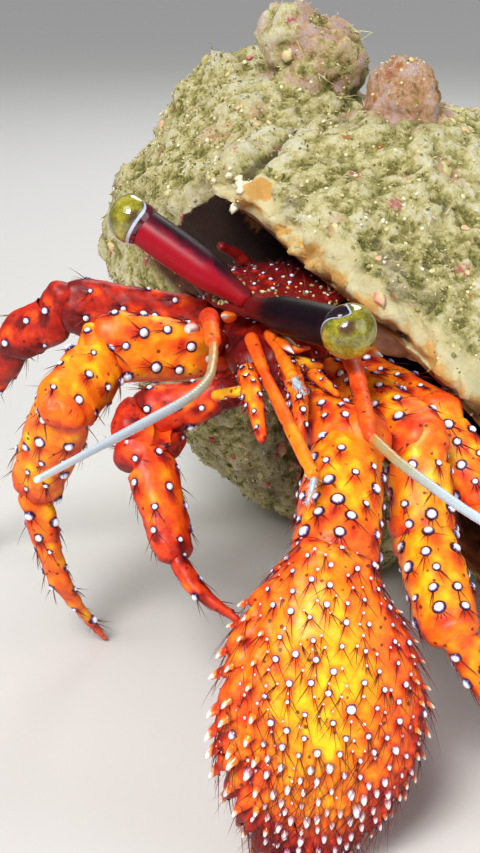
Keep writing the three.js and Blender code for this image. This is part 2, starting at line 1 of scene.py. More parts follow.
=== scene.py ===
"""Hermit crab in an overgrown sea-snail shell, life size.

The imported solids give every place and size. This script wraps each limb solid in a fine
cuticle, sets beads, spines and bristles on it, and covers the shell with reef growth.
Metres, +Z up; the crab faces -Y and its left side is +X.
"""
import math
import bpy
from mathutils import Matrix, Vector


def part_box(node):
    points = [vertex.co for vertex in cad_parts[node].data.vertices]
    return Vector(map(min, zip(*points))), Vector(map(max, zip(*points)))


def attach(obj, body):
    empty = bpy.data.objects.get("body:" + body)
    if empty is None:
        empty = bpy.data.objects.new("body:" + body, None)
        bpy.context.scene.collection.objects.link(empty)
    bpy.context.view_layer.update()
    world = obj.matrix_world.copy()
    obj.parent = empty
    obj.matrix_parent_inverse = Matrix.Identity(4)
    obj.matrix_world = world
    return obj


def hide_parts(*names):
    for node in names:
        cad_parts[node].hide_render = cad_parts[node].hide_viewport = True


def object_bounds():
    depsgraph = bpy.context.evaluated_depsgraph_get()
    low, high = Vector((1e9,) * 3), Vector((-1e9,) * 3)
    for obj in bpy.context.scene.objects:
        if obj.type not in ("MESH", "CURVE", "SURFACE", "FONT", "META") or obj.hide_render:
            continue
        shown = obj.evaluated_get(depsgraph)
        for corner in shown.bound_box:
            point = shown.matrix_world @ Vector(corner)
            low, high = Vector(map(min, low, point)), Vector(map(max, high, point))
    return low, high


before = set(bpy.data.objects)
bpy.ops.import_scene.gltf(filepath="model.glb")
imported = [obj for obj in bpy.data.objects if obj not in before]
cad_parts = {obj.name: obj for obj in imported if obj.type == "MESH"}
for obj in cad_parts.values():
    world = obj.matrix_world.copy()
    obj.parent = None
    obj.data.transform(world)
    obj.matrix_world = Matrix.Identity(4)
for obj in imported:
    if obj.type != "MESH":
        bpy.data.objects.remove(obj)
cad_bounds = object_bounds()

from types import SimpleNamespace

import bmesh
import bpy
import numpy as np
from mathutils import Vector
from mathutils.bvhtree import BVHTree
from mathutils.kdtree import KDTree

MM = 0.001
MERGE = 0.005 * MM             # points closer than this are one point
SKIN_GRAIN = 0.36 * MM         # spacing of the points of a cuticle
SWELL = 1.02                   # a skin stands this much outside its solid
SIDES_LIMITS = (12, 150)       # fewest and most points round a skin, and along it
RINGS_LIMITS = (12, 260)
CAP_LIMITS = (0.02, 0.3)       # least and greatest share of a skin's rings in each rounded end
SHAPE_LIMITS = (0.7, 1.4)      # how far a section may leave its ellipse
BATCH = 4096                   # points of a skin that are marked at once
LIT_SIDE = np.array([0.0, -0.72, 0.69])   # faces turned to this lit side are painted brighter, those turned away redder: painted light and shade
UP = np.array([0.0, 0.0, 1.0])


# ---- small numbers ----

def unit(vectors):
    """Each vector at length one."""
    return vectors / np.linalg.norm(vectors, axis=-1, keepdims=True)


def ease(values):
    """0 below 0, 1 above 1 and a smooth rise between."""
    held = np.clip(values, 0, 1)
    return held * held * (3 - 2 * held)


def waves(points, size, seed, octaves=3):
    """Smooth lumps about `size` mm across, from sine waves that run different ways."""
    rng = np.random.default_rng(seed)
    total = np.zeros(len(points))
    for octave in range(octaves):
        scale = size * MM / (1.7 ** octave)
        for _ in range(3):
            way = unit(rng.normal(size=3)) * 2 * np.pi / scale
            total += np.sin(points @ way + rng.uniform(0, 6.28)) / (3 * 1.6 ** octave)
    return total


def even_out(rows, rounds):
    """Draws each row of values towards the rows beside it; the end rows stay."""
    for _ in range(rounds):
        rows[1:-1] = (rows[:-2] + 2 * rows[1:-1] + rows[2:]) / 4


def fill_gaps(values, known):
    """Values between the known ones."""
    count = np.arange(len(values))
    return np.interp(count, count[known], values[known])


def box_middle(node):
    low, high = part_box(node)
    return np.array((low + high) / 2)


# ---- meshes ----

def points_of(mesh, layer="vertices", key="co"):
    """The points of a mesh, or three other numbers of each."""
    flat = np.empty(len(mesh.vertices) * 3, np.float32)
    getattr(mesh, layer).foreach_get(key, flat)
    return flat.reshape(-1, 3).astype(float)


def normals_of(mesh):
    return points_of(mesh, "vertex_normals", "vector")


def move_points(mesh, points):
    mesh.vertices.foreach_set("co", points.astype(np.float32).ravel())
    mesh.update()


def write_values(mesh, **values):
    """Numbers at every point of the mesh, for its material to read."""
    for name, given in values.items():
        layer = mesh.attributes.get(name) or mesh.attributes.new(name, "FLOAT", "POINT")
        layer.data.foreach_set("value", np.full(len(mesh.vertices), given, np.float32))


def edge_ends(mesh):
    return np.array([edge.vertices[:] for edge in mesh.edges])


def face_tree(mesh):
    """The faces of a mesh, for rays to hit."""
    return BVHTree.FromPolygons([vert.co for vert in mesh.vertices],
                                [face.vertices[:] for face in mesh.polygons])


def add_object(name, data):
    made = bpy.data.objects.new(name, data)
    bpy.context.scene.collection.objects.link(made)
    return made


def build_mesh(name, points, faces):
    mesh = bpy.data.meshes.new(name)
    mesh.from_pydata(points.tolist(), [], faces)
    mesh.update()
    mesh.shade_smooth()
    return add_object(name, mesh)


def copy_of(name, *nodes):
    """One mesh made of copies of the named solids, each point once."""
    joined = bmesh.new()
    for node in nodes:
        joined.from_mesh(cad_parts[node].data)
    bmesh.ops.remove_doubles(joined, verts=joined.verts, dist=MERGE)
    mesh = bpy.data.meshes.new(name)
    joined.to_mesh(mesh)
    joined.free()
    return add_object(name, mesh)


def deselect():
    bpy.ops.object.select_all(action="DESELECT")


def select_only(piece):
    deselect()
    piece.select_set(True)
    bpy.context.view_layer.objects.active = piece


def new_sphere(name, segments, rings):
    """A sphere of radius one and its points, to be carried elsewhere."""
    deselect()
    bpy.ops.mesh.primitive_uv_sphere_add(segments=segments, ring_count=rings, radius=1)
    piece = bpy.context.object
    piece.name = piece.data.name = name
    piece.data.shade_smooth()
    return piece, points_of(piece.data)


def turn_outwards(piece):
    """Makes every face of a closed piece look outwards."""
    select_only(piece)
    bpy.ops.object.mode_set(mode="EDIT")
    bpy.ops.mesh.select_all(action="SELECT")
    bpy.ops.mesh.normals_make_consistent(inside=False)
    bpy.ops.object.mode_set(mode="OBJECT")


def apply_modifier(piece, kind, **settings):
    modifier = piece.modifiers.new(kind.lower(), kind)
    for key, value in settings.items():
        setattr(modifier, key, value)
    select_only(piece)
    bpy.ops.object.modifier_apply(modifier=modifier.name)


def settle(piece, material, slot, *nodes):
    """Gives a finished piece its material and its body, and hides the solids it stands for.

    What would reach through the floor is flattened on it. `slot` is not used.
    """
    points = points_of(piece.data)
    points[:, 2] = np.maximum(points[:, 2], cad_bounds[0].z)
    move_points(piece.data, points)
    piece.data.materials.clear()
    piece.data.materials.append(material)
    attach(piece, "root")
    if nodes:
        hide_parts(*nodes)


# ---- measuring the solids ----

def outline(nodes):
    """Points, edges and faces of the named solids."""
    copy = copy_of("measured", *nodes)
    found = points_of(copy.data), edge_ends(copy.data), face_tree(copy.data)
    bpy.data.objects.remove(copy)
    return found


def middle_line(points, edges, start, stations, back):
    """Middles of the solid on spheres about a point `back` lengths behind its near end."""
    middle = (points.min(0) + points.max(0)) / 2
    axis = np.linalg.svd(points - points.mean(0), full_matrices=False)[2][0]
    if axis @ (middle - start) < 0:
        axis = -axis
    reach = (points - middle) @ axis
    near = points[reach < reach.min() + 0.1 * np.ptp(reach)].mean(0)
    origin = near - axis * back * np.ptp(reach)
    distance = np.linalg.norm(points - origin, axis=1)
    first, second = distance[edges[:, 0]], distance[edges[:, 1]]
    line = np.full((stations, 3), np.nan)
    for i, share in enumerate(np.linspace(0.05, 0.97, stations)):
        radius = distance.min() + share * np.ptp(distance)
        crossing = (first - radius) * (second - radius) < 0
        if crossing.any():
            a, b = points[edges[crossing, 0]], points[edges[crossing, 1]]
            part = ((radius - first[crossing]) / (second - first)[crossing])[:, None]
            hits = a + (b - a) * part
            line[i] = (hits.min(0) + hits.max(0)) / 2
    known = np.isfinite(line[:, 0])
    line = np.stack([fill_gaps(line[:, k], known) for k in range(3)], 1)
    even_out(line, 3)
    return line


def measure(nodes, start, up=UP, back=1.0, stations=26, turns=32, ends=(0.14, 0.12), harmonics=4):
    """The middle line of a solid, and how far it reaches out from it all round.

    `ends` are the shares of the length at each end, where neighbours have cut the solid;
    the reach there is carried on from further in.
    """
    points, edges, tree = outline(nodes)
    line = middle_line(points, edges, start, stations, back)
    along = unit(np.gradient(line, axis=0))
    top = unit(up - (along @ up)[:, None] * along)
    side = np.cross(along, top)
    far = 2 * np.linalg.norm(np.ptp(points, axis=0))

    def reach(centre, direction):
        hit = tree.ray_cast(Vector(centre + direction * far), Vector(-direction))
        return far - hit[3] if hit[3] is not None and hit[3] < far else np.nan

    half_side, half_top = np.empty((2, stations))
    factor = np.ones((stations, turns))
    for i, here in enumerate(line):
        half_side[i] = np.nanmean([reach(here, side[i]), reach(here, -side[i])])
        half_top[i] = np.nanmean([reach(here, top[i]), reach(here, -top[i])])
        for j, angle in enumerate(np.arange(turns) * 2 * np.pi / turns):
            flat = half_side[i] * math.cos(angle) * side[i] + half_top[i] * math.sin(angle) * top[i]
            size = np.linalg.norm(flat)
            factor[i, j] = reach(here, flat / size) / size
    known = np.isfinite(half_side) & np.isfinite(half_top)
    half_side, half_top = fill_gaps(half_side, known), fill_gaps(half_top, known)
    first = round(ends[0] * (stations - 1))
    last = round((1 - ends[1]) * (stations - 1))
    for values in (half_side, half_top, factor):
        values[:first] = values[first]
        values[last + 1:] = values[last]
    factor = np.where(np.isfinite(factor), np.clip(factor, *SHAPE_LIMITS), 1.0)
    swings = np.fft.rfft(factor, axis=1)
    swings[:, harmonics:] = 0
    factor = np.fft.irfft(swings, turns, axis=1)
    for values in (half_side, half_top, factor):
        even_out(values, 2)
    return SimpleNamespace(line=line, along=along, side=side, top=top, factor=factor,
                           half_side=half_side, half_top=half_top,
                           length=np.linalg.norm(np.diff(line, axis=0), axis=1).sum())


def read_rows(rows, share):
    """Rows of values along a core, read at each share of its length."""
    place = np.clip(share, 0, 1) * (len(rows) - 1)
    low = np.minimum(place.astype(int), len(rows) - 2)
    part = place - low
    if rows.ndim == 2:
        part = part[:, None]
    return rows[low] * (1 - part) + rows[low + 1] * part


def read_factor(core, share, turn):
    """How far a core reaches beyond its ellipse at each share of its length and turn round it."""
    turns = core.factor.shape[1]
    place = np.mod(turn / (2 * np.pi), 1) * turns
    low = place.astype(int) % turns
    part = place - np.floor(place)
    rows = read_rows(core.factor, share)
    index = np.arange(len(share))
    return rows[index, low] * (1 - part) + rows[index, (low + 1) % turns] * part


# ---- wrapping a solid ----

def wrap(name, core, profile=None, grain=SKIN_GRAIN, caps=(0.8, 0.8)):
    """A closed sphere whose rings are carried onto the core's outline.

    `profile` scales the section along its length, `caps` are the heights of the rounded
    ends as a share of the half width. Each point keeps its share of the length, its turn
    round the core and the direction of the limb's tip.
    """
    mean = float((core.half_side + core.half_top).mean() / 2)
    whole = core.length + 2 * mean
    segments = int(np.clip(round(2 * np.pi * mean / grain), *SIDES_LIMITS))
    rings = int(np.clip(round(whole / grain), *RINGS_LIMITS))
    piece, sphere = new_sphere(name, segments, rings)
    fall = np.arccos(np.clip(sphere[:, 2] / np.linalg.norm(sphere, axis=1), -1, 1)) / np.pi
    turn = np.arctan2(sphere[:, 1], sphere[:, 0])
    near_cap, far_cap = (np.clip(cap * mean / whole, *CAP_LIMITS) for cap in caps)
    share = np.clip((fall - near_cap) / (1 - near_cap - far_cap), 0, 1)
    near = np.clip(fall / near_cap, 0, 1) * np.pi / 2
    far = np.clip((1 - fall) / far_cap, 0, 1) * np.pi / 2
    line, along, side, top, half_side, half_top = (
        read_rows(rows, share)
        for rows in (core.line, core.along, core.side, core.top, core.half_side, core.half_top))
    size = read_factor(core, share, turn) * (np.sin(near) * np.sin(far)) * SWELL
    if profile is not None:
        size = size * profile(share, turn)
    beyond = np.minimum(half_side, half_top) * (caps[1] * np.cos(far) - caps[0] * np.cos(near))
    points = (line + along * beyond[:, None] + side * (half_side * np.cos(turn) * size)[:, None]
              + top * (half_top * np.sin(turn) * size)[:, None])
    move_points(piece.data, points)
    return SimpleNamespace(piece=piece, mesh=piece.data, share=share, turn=turn, along=unit(along),
                           points=points, normals=normals_of(piece.data))


def refresh(skin):
    skin.points = points_of(skin.mesh)
    skin.normals = normals_of(skin.mesh)


# ---- beads, spines, bristles and pebbles ----

# Rings of a bead from its foot up: radius, height and how far the white crown has begun.
BEAD_SIDES = 9
BEAD_RINGS = np.array([(1.32, -0.3, 0.0), (1.08, 0.06, 0.22), (0.86, 0.48, 0.6), (0.48, 0.78, 0.85)])
BEAD_TOP = 0.9
BRISTLE_SIDES = 3
BRISTLE_STEPS = (0.0, 0.35, 0.7)       # rings along a bristle, as shares of its length
PEBBLE_SIDES = 5
PEBBLE_LEVELS = ((-0.7, 0.72), (0.1, 1.0), (0.75, 0.66))   # height and radius of each ring
PATCH = 0.003                          # size of a tuft's patch on the OFBake map
# Round a bead, in its radii: how far its dark ring and its red halo are full, and over how
# much they fade. Its scale is highest at the bead and fades over the second number.
RING_REACH = (1.05, 0.75)
HALO_REACH = (1.0, 1.7)
SCALE_REACH = (1.12, 2.7)


def scatter(skin, spacing, rng, tries=6000):
    """Points of the skin in random order, each at least `spacing` from those before it."""
    order = rng.permutation(len(skin.points))[:tries]
    chosen = []
    kept = np.empty((len(order), 3))
    for i in order:
        here = skin.points[i]
        if chosen and (np.linalg.norm(kept[:len(chosen)] - here, axis=1) < spacing[i]).any():
            continue
        kept[len(chosen)] = here
        chosen.append(i)
    return np.array(chosen, int)


def spots_on(skin, index, radius, height=1.0, lean=0.0, orange=0.0, mound=0.0, hair=1.0):
    """What beads and bristles need to know about each chosen point of a skin.

    `mound` is how far the skin rises under the bead in mm, `hair` scales its bristles.
    """
    numbers = {"radius": radius, "height": height, "lean": lean, "orange": orange, "mound": mound,
               "hair": hair}
    full = {key: np.full(len(index), value, float) for key, value in numbers.items()}
    normal = unit(skin.normals[index])
    tip = skin.along[index]
    tip = unit(tip - (tip * normal).sum(1)[:, None] * normal)
    share = skin.share[index]
    return SimpleNamespace(place=skin.points[index], normal=normal, tip=tip, index=index, share=share,
                           row=share, turn=skin.turn[index], warm=skin.warm[index], **full)


def join_spots(groups):
    """Spots of several skins as one, with each skin's own row of the unwrap."""
    joined = {key: np.concatenate([getattr(g, key) for g in groups]) for key in vars(groups[0])}
    joined["row"] = np.concatenate([(k + g.share) / len(groups) for k, g in enumerate(groups)])
    return SimpleNamespace(**joined)


def mark_skin(skin, spots, ring_depth=1.0, contrast=0.26):
    """Raises the skin into a scale under each bead and marks its dark ring and red halo.

    A scale climbs slowly towards the tip of the limb and ends steeply beyond its bead.
    """
    ring, halo, rise = (np.zeros(len(skin.points)) for _ in range(3))
    for first in range(0, len(skin.points), BATCH):
        part = slice(first, first + BATCH)
        step = skin.points[part, None] - spots.place[None]
        forward = np.einsum("psk,sk->ps", step, spots.tip)
        distance = np.linalg.norm(step, axis=2)
        sideways = np.sqrt(np.maximum(distance ** 2 - forward ** 2, 0))
        away = distance / spots.radius
        trail = np.hypot(sideways, forward * np.where(forward > 0, 0.38, 1.0)) / spots.radius
        scale = np.hypot(sideways, forward * np.where(forward > 0, 1.5, 0.42)) / spots.radius
        ring[part] = (1 - (away - RING_REACH[0]) / RING_REACH[1]).max(1)
        halo[part] = (1 - (trail - HALO_REACH[0]) / HALO_REACH[1]).max(1)
        rise[part] = (ease(SCALE_REACH[0] - scale / SCALE_REACH[1]) * spots.mound).max(1)
    raised = np.clip(rise / max(spots.mound.max() * 0.5, 0.01), 0, 1)
    skin.warm = skin.warm + contrast * (raised - 0.33)
    move_points(skin.mesh, skin.points + (skin.normals + 0.6 * skin.along) * (rise * MM)[:, None])
    refresh(skin)
    write_values(skin.mesh, ring=ease(ring) * ring_depth, halo=ease(halo), warm=skin.warm, tip=0)


def part_of(skin, piece):
    """A piece cut from a skin, with what the skin knows about its nearest points."""
    tree = KDTree(len(skin.points))
    for i, here in enumerate(skin.points):
        tree.insert(here, i)
    tree.balance()
    near = np.array([tree.find(vertex.co)[1] for vertex in piece.data.vertices])
    return SimpleNamespace(piece=piece, mesh=piece.data, points=points_of(piece.data),
                           normals=skin.normals[near], share=skin.share[near],
                           turn=skin.turn[near], along=skin.along[near], warm=skin.warm[near])


def round_the_ring(sides):
    """Cosines and sines of evenly spaced turns."""
    angle = np.arange(sides) * 2 * np.pi / sides
    return np.cos(angle), np.sin(angle)


def stack_faces(sides, rings, flip=False):
    """Faces of rings of points stacked up, closed by a foot and by one point at the end."""
    def pair(first, k):
        ends = (first + k, first + (k + 1) % sides)
        return ends[::-1] if flip else ends

    faces = []
    for ring in range(rings - 1):
        for k in range(sides):
            a, b = pair(ring * sides, k)
            faces.append((a, b, b + sides, a + sides))
    faces += [(*pair((rings - 1) * sides, k), rings * sides) for k in range(sides)]
    foot = tuple(range(sides))
    return [*faces, foot if flip else foot[::-1]]


def build_tufts(name, points, faces, turn, row, offsets, **values):
    """One mesh of the same small shape at many places, with its OFBake map.

    On the map every tuft is a small patch at its root's place on the skin's unwrap.
    """
    count, each = points.shape[:2]
    every = [tuple(v + each * n for v in face) for n in range(count) for face in faces]
    piece = build_mesh(name, points.reshape(-1, 3), every)
    write_values(piece.data, **values)
    roots = np.stack([np.mod(turn / (2 * np.pi), 1), row], 1)
    spread = np.clip(np.repeat(roots, each, 0) + np.tile(offsets, (count, 1)), 0.001, 0.999)
    corners = np.empty(len(piece.data.loops), np.int32)
    piece.data.loops.foreach_get("vertex_index", corners)
    layer = piece.data.uv_layers.new(name="OFBake")
    layer.data.foreach_set("uv", spread[corners].astype(np.float32).ravel())
    return piece


def make_beads(name, spots):
    """One mesh of raised beads: a ring in the skin, a dark foot and a white crown."""
    cosine, sine = round_the_ring(BEAD_SIDES)
    forward = np.append(BEAD_RINGS[:, :1] * cosine, 0)
    sideways = np.append(BEAD_RINGS[:, :1] * sine, 0)
    lift = np.append(np.repeat(BEAD_RINGS[:, 1], BEAD_SIDES), BEAD_TOP)
    crown = np.append(np.repeat(BEAD_RINGS[:, 2], BEAD_SIDES), 1.0)
    count, each = len(spots.place), len(lift)
    rise = np.where(lift > 0, lift * spots.height[:, None], lift)
    shift = forward + spots.lean[:, None] * np.maximum(rise, 0) ** 1.3
    slim = 1 - 0.25 * np.clip(spots.height[:, None] - 1, 0, 1) * crown
    across = np.cross(spots.normal, spots.tip)
    points = spots.place[:, None] + spots.radius[:, None, None] * (
        shift[..., None] * spots.tip[:, None] + (sideways * slim)[..., None] * across[:, None]
        + rise[..., None] * spots.normal[:, None])
    return build_tufts(name, points, stack_faces(BEAD_SIDES, len(BEAD_RINGS)), spots.turn, spots.row,
                       np.stack([sideways, forward], 1) * PATCH, crown=np.tile(crown, count),
                       orange=np.repeat(spots.orange, each), warm=np.repeat(spots.warm, each))


def make_bristles(name, spots, rng, per_spot=(2, 5), length=(2.2, 4.6), thick=0.085,
                  fan=0.75, stand=0.34, curve=0.35):
    """One mesh of fine bristles, a fan of them from the foot of each bead."""
    number = rng.integers(per_spot[0], per_spot[1] + 1, len(spots.place))
    who = np.repeat(np.arange(len(spots.place)), number)
    count = len(who)
    normal, tip = spots.normal[who], spots.tip[who]
    swing = rng.uniform(-fan, fan, count)
    heading = unit(tip * np.cos(swing)[:, None] + np.cross(normal, tip) * np.sin(swing)[:, None])
    lift = rng.uniform(0.5, 1.5, count) * stand
    start = unit(heading + normal * lift[:, None])
    long = (rng.uniform(length[0], length[1], count) * MM * spots.hair[who])[:, None]
    foot = spots.place[who] + heading * (spots.radius[who] * 0.8)[:, None] - normal * 0.1 * MM
    bend = -normal * (curve * rng.uniform(0.2, 1.2, count))[:, None]
    beside = unit(np.cross(start, normal))
    above = np.cross(beside, start)
    width = thick * MM * rng.uniform(0.75, 1.25, count)
    cosine, sine = round_the_ring(BRISTLE_SIDES)
    round_it = cosine[:, None] * beside[:, None] + sine[:, None] * above[:, None]
    rings = []
    for step in BRISTLE_STEPS:
        middle = foot + (start * step + bend * step * step * 0.5) * long
        rings.append(middle[:, None] + round_it * (width * (1 - step) ** 0.7)[:, None, None])
    rings.append((foot + (start + bend * 0.5) * long)[:, None])
    points = np.concatenate(rings, 1)
    each = points.shape[1]
    steps = np.append(np.repeat(BRISTLE_STEPS, BRISTLE_SIDES), 1.0)
    faces = stack_faces(BRISTLE_SIDES, len(BRISTLE_STEPS), flip=True)
    return build_tufts(name, points, faces, spots.turn[who], spots.row[who],
                       np.stack([steps * PATCH, steps * PATCH / 3], 1), reach=np.tile(steps, count),
                       shade=np.repeat(rng.random(count), each))


def make_pebbles(name, skin, index, radii, rng, flat=0.65):
    """One mesh of small rounded lumps, half sunk in the skin at the chosen points."""
    normals = skin.normals[index]
    cosine, sine = round_the_ring(PEBBLE_SIDES)
    lump = np.concatenate([np.stack([wide * cosine, wide * sine, np.full(PEBBLE_SIDES, high)], 1)
                           for high, wide in PEBBLE_LEVELS] + [[(0, 0, 1)]])
    count, each = len(index), len(lump)
    side = unit(np.cross(normals, rng.normal(size=(count, 3))))
    top = np.cross(normals, side)
    local = lump * (1 + rng.uniform(-0.22, 0.22, (count, each, 1)))
    stretch = rng.uniform(0.75, 1.35, (count, 1))
    points = skin.points[index][:, None] + radii[:, None, None] * (
        local[..., :1] * (side * stretch)[:, None] + local[..., 1:2] * top[:, None]
        + flat * local[..., 2:] * normals[:, None])
    return build_tufts(name, points, stack_faces(PEBBLE_SIDES, len(PEBBLE_LEVELS)), skin.turn[index],
                       skin.share[index], lump[:, :2] * PATCH / 2,
                       shade=np.repeat(rng.random(count), each))


# ---- materials ----

# What is being built: its tree, the sockets of its last node, and its points in object space.
current = SimpleNamespace()


def feed(socket, value):
    """Links a socket to another, or sets it to a number or a colour."""
    if isinstance(value, bpy.types.NodeSocket):
        current.tree.links.new(value, socket)
    else:
        socket.default_value = (*value, 1) if socket.type == "RGBA" else value


def shader(kind, inputs=None, **settings):
    made = current.tree.nodes.new(kind)
    for key, value in settings.items():
        setattr(made, key, value)
    for key, value in (inputs or {}).items():
        feed(made.inputs[key], value)
    return made


def put(key, value):
    """Feeds the last node of what is being built."""
    feed(current.last[key], value)


def begin(tree, last):
    """Later nodes go to this tree, and `put` feeds its last node."""
    current.tree = tree
    current.last = last.inputs
    current.place = shader("ShaderNodeTexCoord").outputs["Object"]


def read(name):
    """A number that the pieces carry at their points."""
    return shader("ShaderNodeAttribute", attribute_name=name).outputs["Fac"]


def noise(size, detail=3.0, roughness=0.55, warp=0.0):
    """Soft noise whose lumps are about `size` mm across."""
    return shader("ShaderNodeTexNoise", {"Vector": current.place, "Scale": 1 / (size * MM),
                  "Detail": detail, "Roughness": roughness, "Distortion": warp}).outputs["Fac"]


def cells(size, randomness=1.0):
    return shader("ShaderNodeTexVoronoi", {"Vector": current.place, "Scale": 1 / (size * MM),
                                           "Randomness": randomness}).outputs


def plus(a, b, operation="ADD"):
    return shader("ShaderNodeMath", {0: a, 1: b}, operation=operation).outputs[0]


def times(a, b):
    return plus(a, b, "MULTIPLY")


def span(value, low, high, to_low=0.0, to_high=1.0):
    """Smoothly carries low..high to to_low..to_high."""
    return shader("ShaderNodeMapRange", {"Value": value, "From Min": low, "From Max": high,
                  "To Min": to_low, "To Max": to_high},
                  interpolation_type="SMOOTHSTEP").outputs["Result"]


def between(soft, low, high):
    """The usual range of a noise, carried to low..high."""
    return span(soft, 0.3, 0.7, low, high)


def stir(level, soft, much):
    """A level that a noise moves by up to `much` either way."""
    return plus(level, between(soft, -much, much))


def ramp(value, *stops):
    """Colours at given levels of a value."""
    made = shader("ShaderNodeValToRGB", {"Fac": value})
    elements = made.color_ramp.elements
    elements.remove(elements[1])
    elements[0].position = stops[0][0]
    elements[0].color = (*stops[0][1], 1)
    for level, colour in stops[1:]:
        elements.new(level).color = (*colour, 1)
    return made.outputs["Color"]


def mix(share, first, second):
    return shader("ShaderNodeMix", data_type="RGBA",
                  inputs={0: share, 6: first, 7: second}).outputs[2]


def bump(height, strength, distance):
    put("Normal", shader("ShaderNodeBump", {"Height": height, "Strength": strength,
                                            "Distance": distance * MM}).outputs["Normal"])


def new_material(name, roughness=0.4, coat=0.0, sub=0.0, sub_radius=(1.0, 0.3, 0.1), sub_scale=0.001,
                 coat_roughness=0.08, specular=0.5):
    material = bpy.data.materials.new(name)
    material.use_nodes = True
    begin(material.node_tree, material.node_tree.nodes["Principled BSDF"])
    put("Roughness", roughness)
    put("Coat Weight", coat)
    put("Coat Roughness", coat_roughness)
    put("Specular IOR Level", specular)
    put("Subsurface Weight", sub)
    put("Subsurface Radius", sub_radius)
    put("Subsurface Scale", sub_scale)
    return material


DEEP_RED = (0.19, 0.006, 0.006)
RED = (0.58, 0.022, 0.006)
ORANGE_RED = (0.86, 0.085, 0.008)
ORANGE = (0.96, 0.19, 0.006)
AMBER = (1.0, 0.36, 0.008)
YELLOW = (1.0, 0.62, 0.012)
SPECK = (0.13, 0.010, 0.004)
RING = (0.022, 0.004, 0.014)
SPINE_RED = (0.3, 0.01, 0.01)


def make_cuticle_pattern():
    """Red to yellow marbling of the cuticle, from how warm the place is."""
    group = bpy.data.node_groups.new("cuticle_pattern", "ShaderNodeTree")
    group.interface.new_socket("Warmth", in_out="INPUT", socket_type="NodeSocketFloat")
    group.interface.new_socket("Color", in_out="OUTPUT", socket_type="NodeSocketColor")
    group.interface.new_socket("Height", in_out="OUTPUT", socket_type="NodeSocketFloat")
    begin(group, group.nodes.new("NodeGroupOutput"))
    broad = noise(5.0, detail=2.0, warp=0.4)
    fine = noise(0.9, detail=4.0, roughness=0.6)
    marbled = stir(stir(shader("NodeGroupInput").outputs["Warmth"], broad, 0.11), fine, 0.055)
    colour = ramp(marbled, (0.0, DEEP_RED), (0.2, RED), (0.4, ORANGE_RED), (0.58, ORANGE),
                  (0.78, AMBER), (1.0, YELLOW))
    speck = cells(1.6)
    chance = shader("ShaderNodeSeparateColor", {"Color": speck["Color"]}).outputs["Red"]
    dark = times(span(stir(speck["Distance"], fine, 0.07), 0.19, 0.12), span(chance, 0.28, 0.34))
    put("Color", mix(times(dark, 0.85), colour, SPECK))
    put("Height", plus(noise(0.32, roughness=0.7), times(broad, 1.5)))
    return group


def use_pattern(warmth):
    made = shader("ShaderNodeGroup", node_tree=PATTERN)
    feed(made.inputs["Warmth"], warmth)
    return made.outputs


def make_cuticle():
    material = new_material("cuticle", roughness=0.4, coat=0.06, sub=0.08, specular=0.3,
                            sub_radius=(1.0, 0.25, 0.05), coat_roughness=0.3)
    skin = use_pattern(plus(read("warm"), times(read("halo"), -0.3)))
    colour = mix(span(read("ring"), 0.25, 0.8), skin["Color"], RING)
    put("Base Color", mix(span(read("tip"), 0.45, 0.75), colour, (0.9, 0.88, 0.86)))
    put("Roughness", between(noise(1.4), 0.36, 0.56))
    bump(skin["Height"], 0.35, 0.12)
    return material


def make_bead_white():
    """Beads are white on a dark foot, spines run from the cuticle's colour to a white tip."""
    material = new_material("bead", roughness=0.22, coat=0.5, sub=0.1, sub_radius=(1.0, 0.9, 1.0),
                            sub_scale=0.0006)
    level = stir(read("crown"), noise(0.5), 0.08)
    # The bead's foot is dark like its ring; the violet to lavender band below the white crown is painted
    # shade.
    white = ramp(level, (0.0, (0.02, 0.004, 0.03)), (0.24, (0.05, 0.02, 0.10)),
                 (0.42, (0.30, 0.27, 0.62)), (0.62, (0.88, 0.9, 1.0)), (1.0, (1.0, 1.0, 1.0)))
    spine = ramp(level, (0.0, SPINE_RED), (0.2, SPINE_RED), (0.3, (0.9, 0.14, 0.01)),
                 (0.58, (0.98, 0.4, 0.1)), (0.74, (0.93, 0.86, 0.9)), (1.0, (1, 1, 1)))
    spine = mix(span(level, 0.35, 0.6), use_pattern(read("warm"))["Color"], spine)
    put("Base Color", mix(read("orange"), white, spine))
    return material


def make_bristle_brown():
    material = new_material("bristle", roughness=0.45, specular=0.35)
    along = ramp(read("reach"), (0.0, (0.10, 0.004, 0.006)), (0.5, (0.17, 0.008, 0.012)),
                 (0.85, (0.36, 0.05, 0.05)), (1.0, (0.75, 0.42, 0.45)))
    own = ramp(read("shade"), (0.0, (0.07, 0.003, 0.008)), (0.6, (0.2, 0.012, 0.012)),
               (1.0, (0.55, 0.12, 0.03)))
    put("Base Color", mix(0.4, along, own))
    return material


def make_eyestalk_red():
    material = new_material("eyestalk", roughness=0.42, coat=0.04, sub=0.05, specular=0.2,
                            sub_radius=(1.0, 0.1, 0.15), coat_roughness=0.2)
    level = stir(read("upper"), noise(3.2, detail=2.0, warp=1.2), 0.1)
    colour = ramp(level, (0.0, (0.34, 0.001, 0.012)), (0.3, (0.29, 0.001, 0.014)),
                  (0.5, (0.12, 0.001, 0.012)), (0.72, (0.022, 0.001, 0.008)),
                  (0.9, (0.005, 0.0008, 0.003)))
    foot = span(read("share"), 0.22, 0.03, 0.0, 0.4)
    put("Base Color", mix(foot, colour, (0.30, 0.012, 0.010)))
    return material


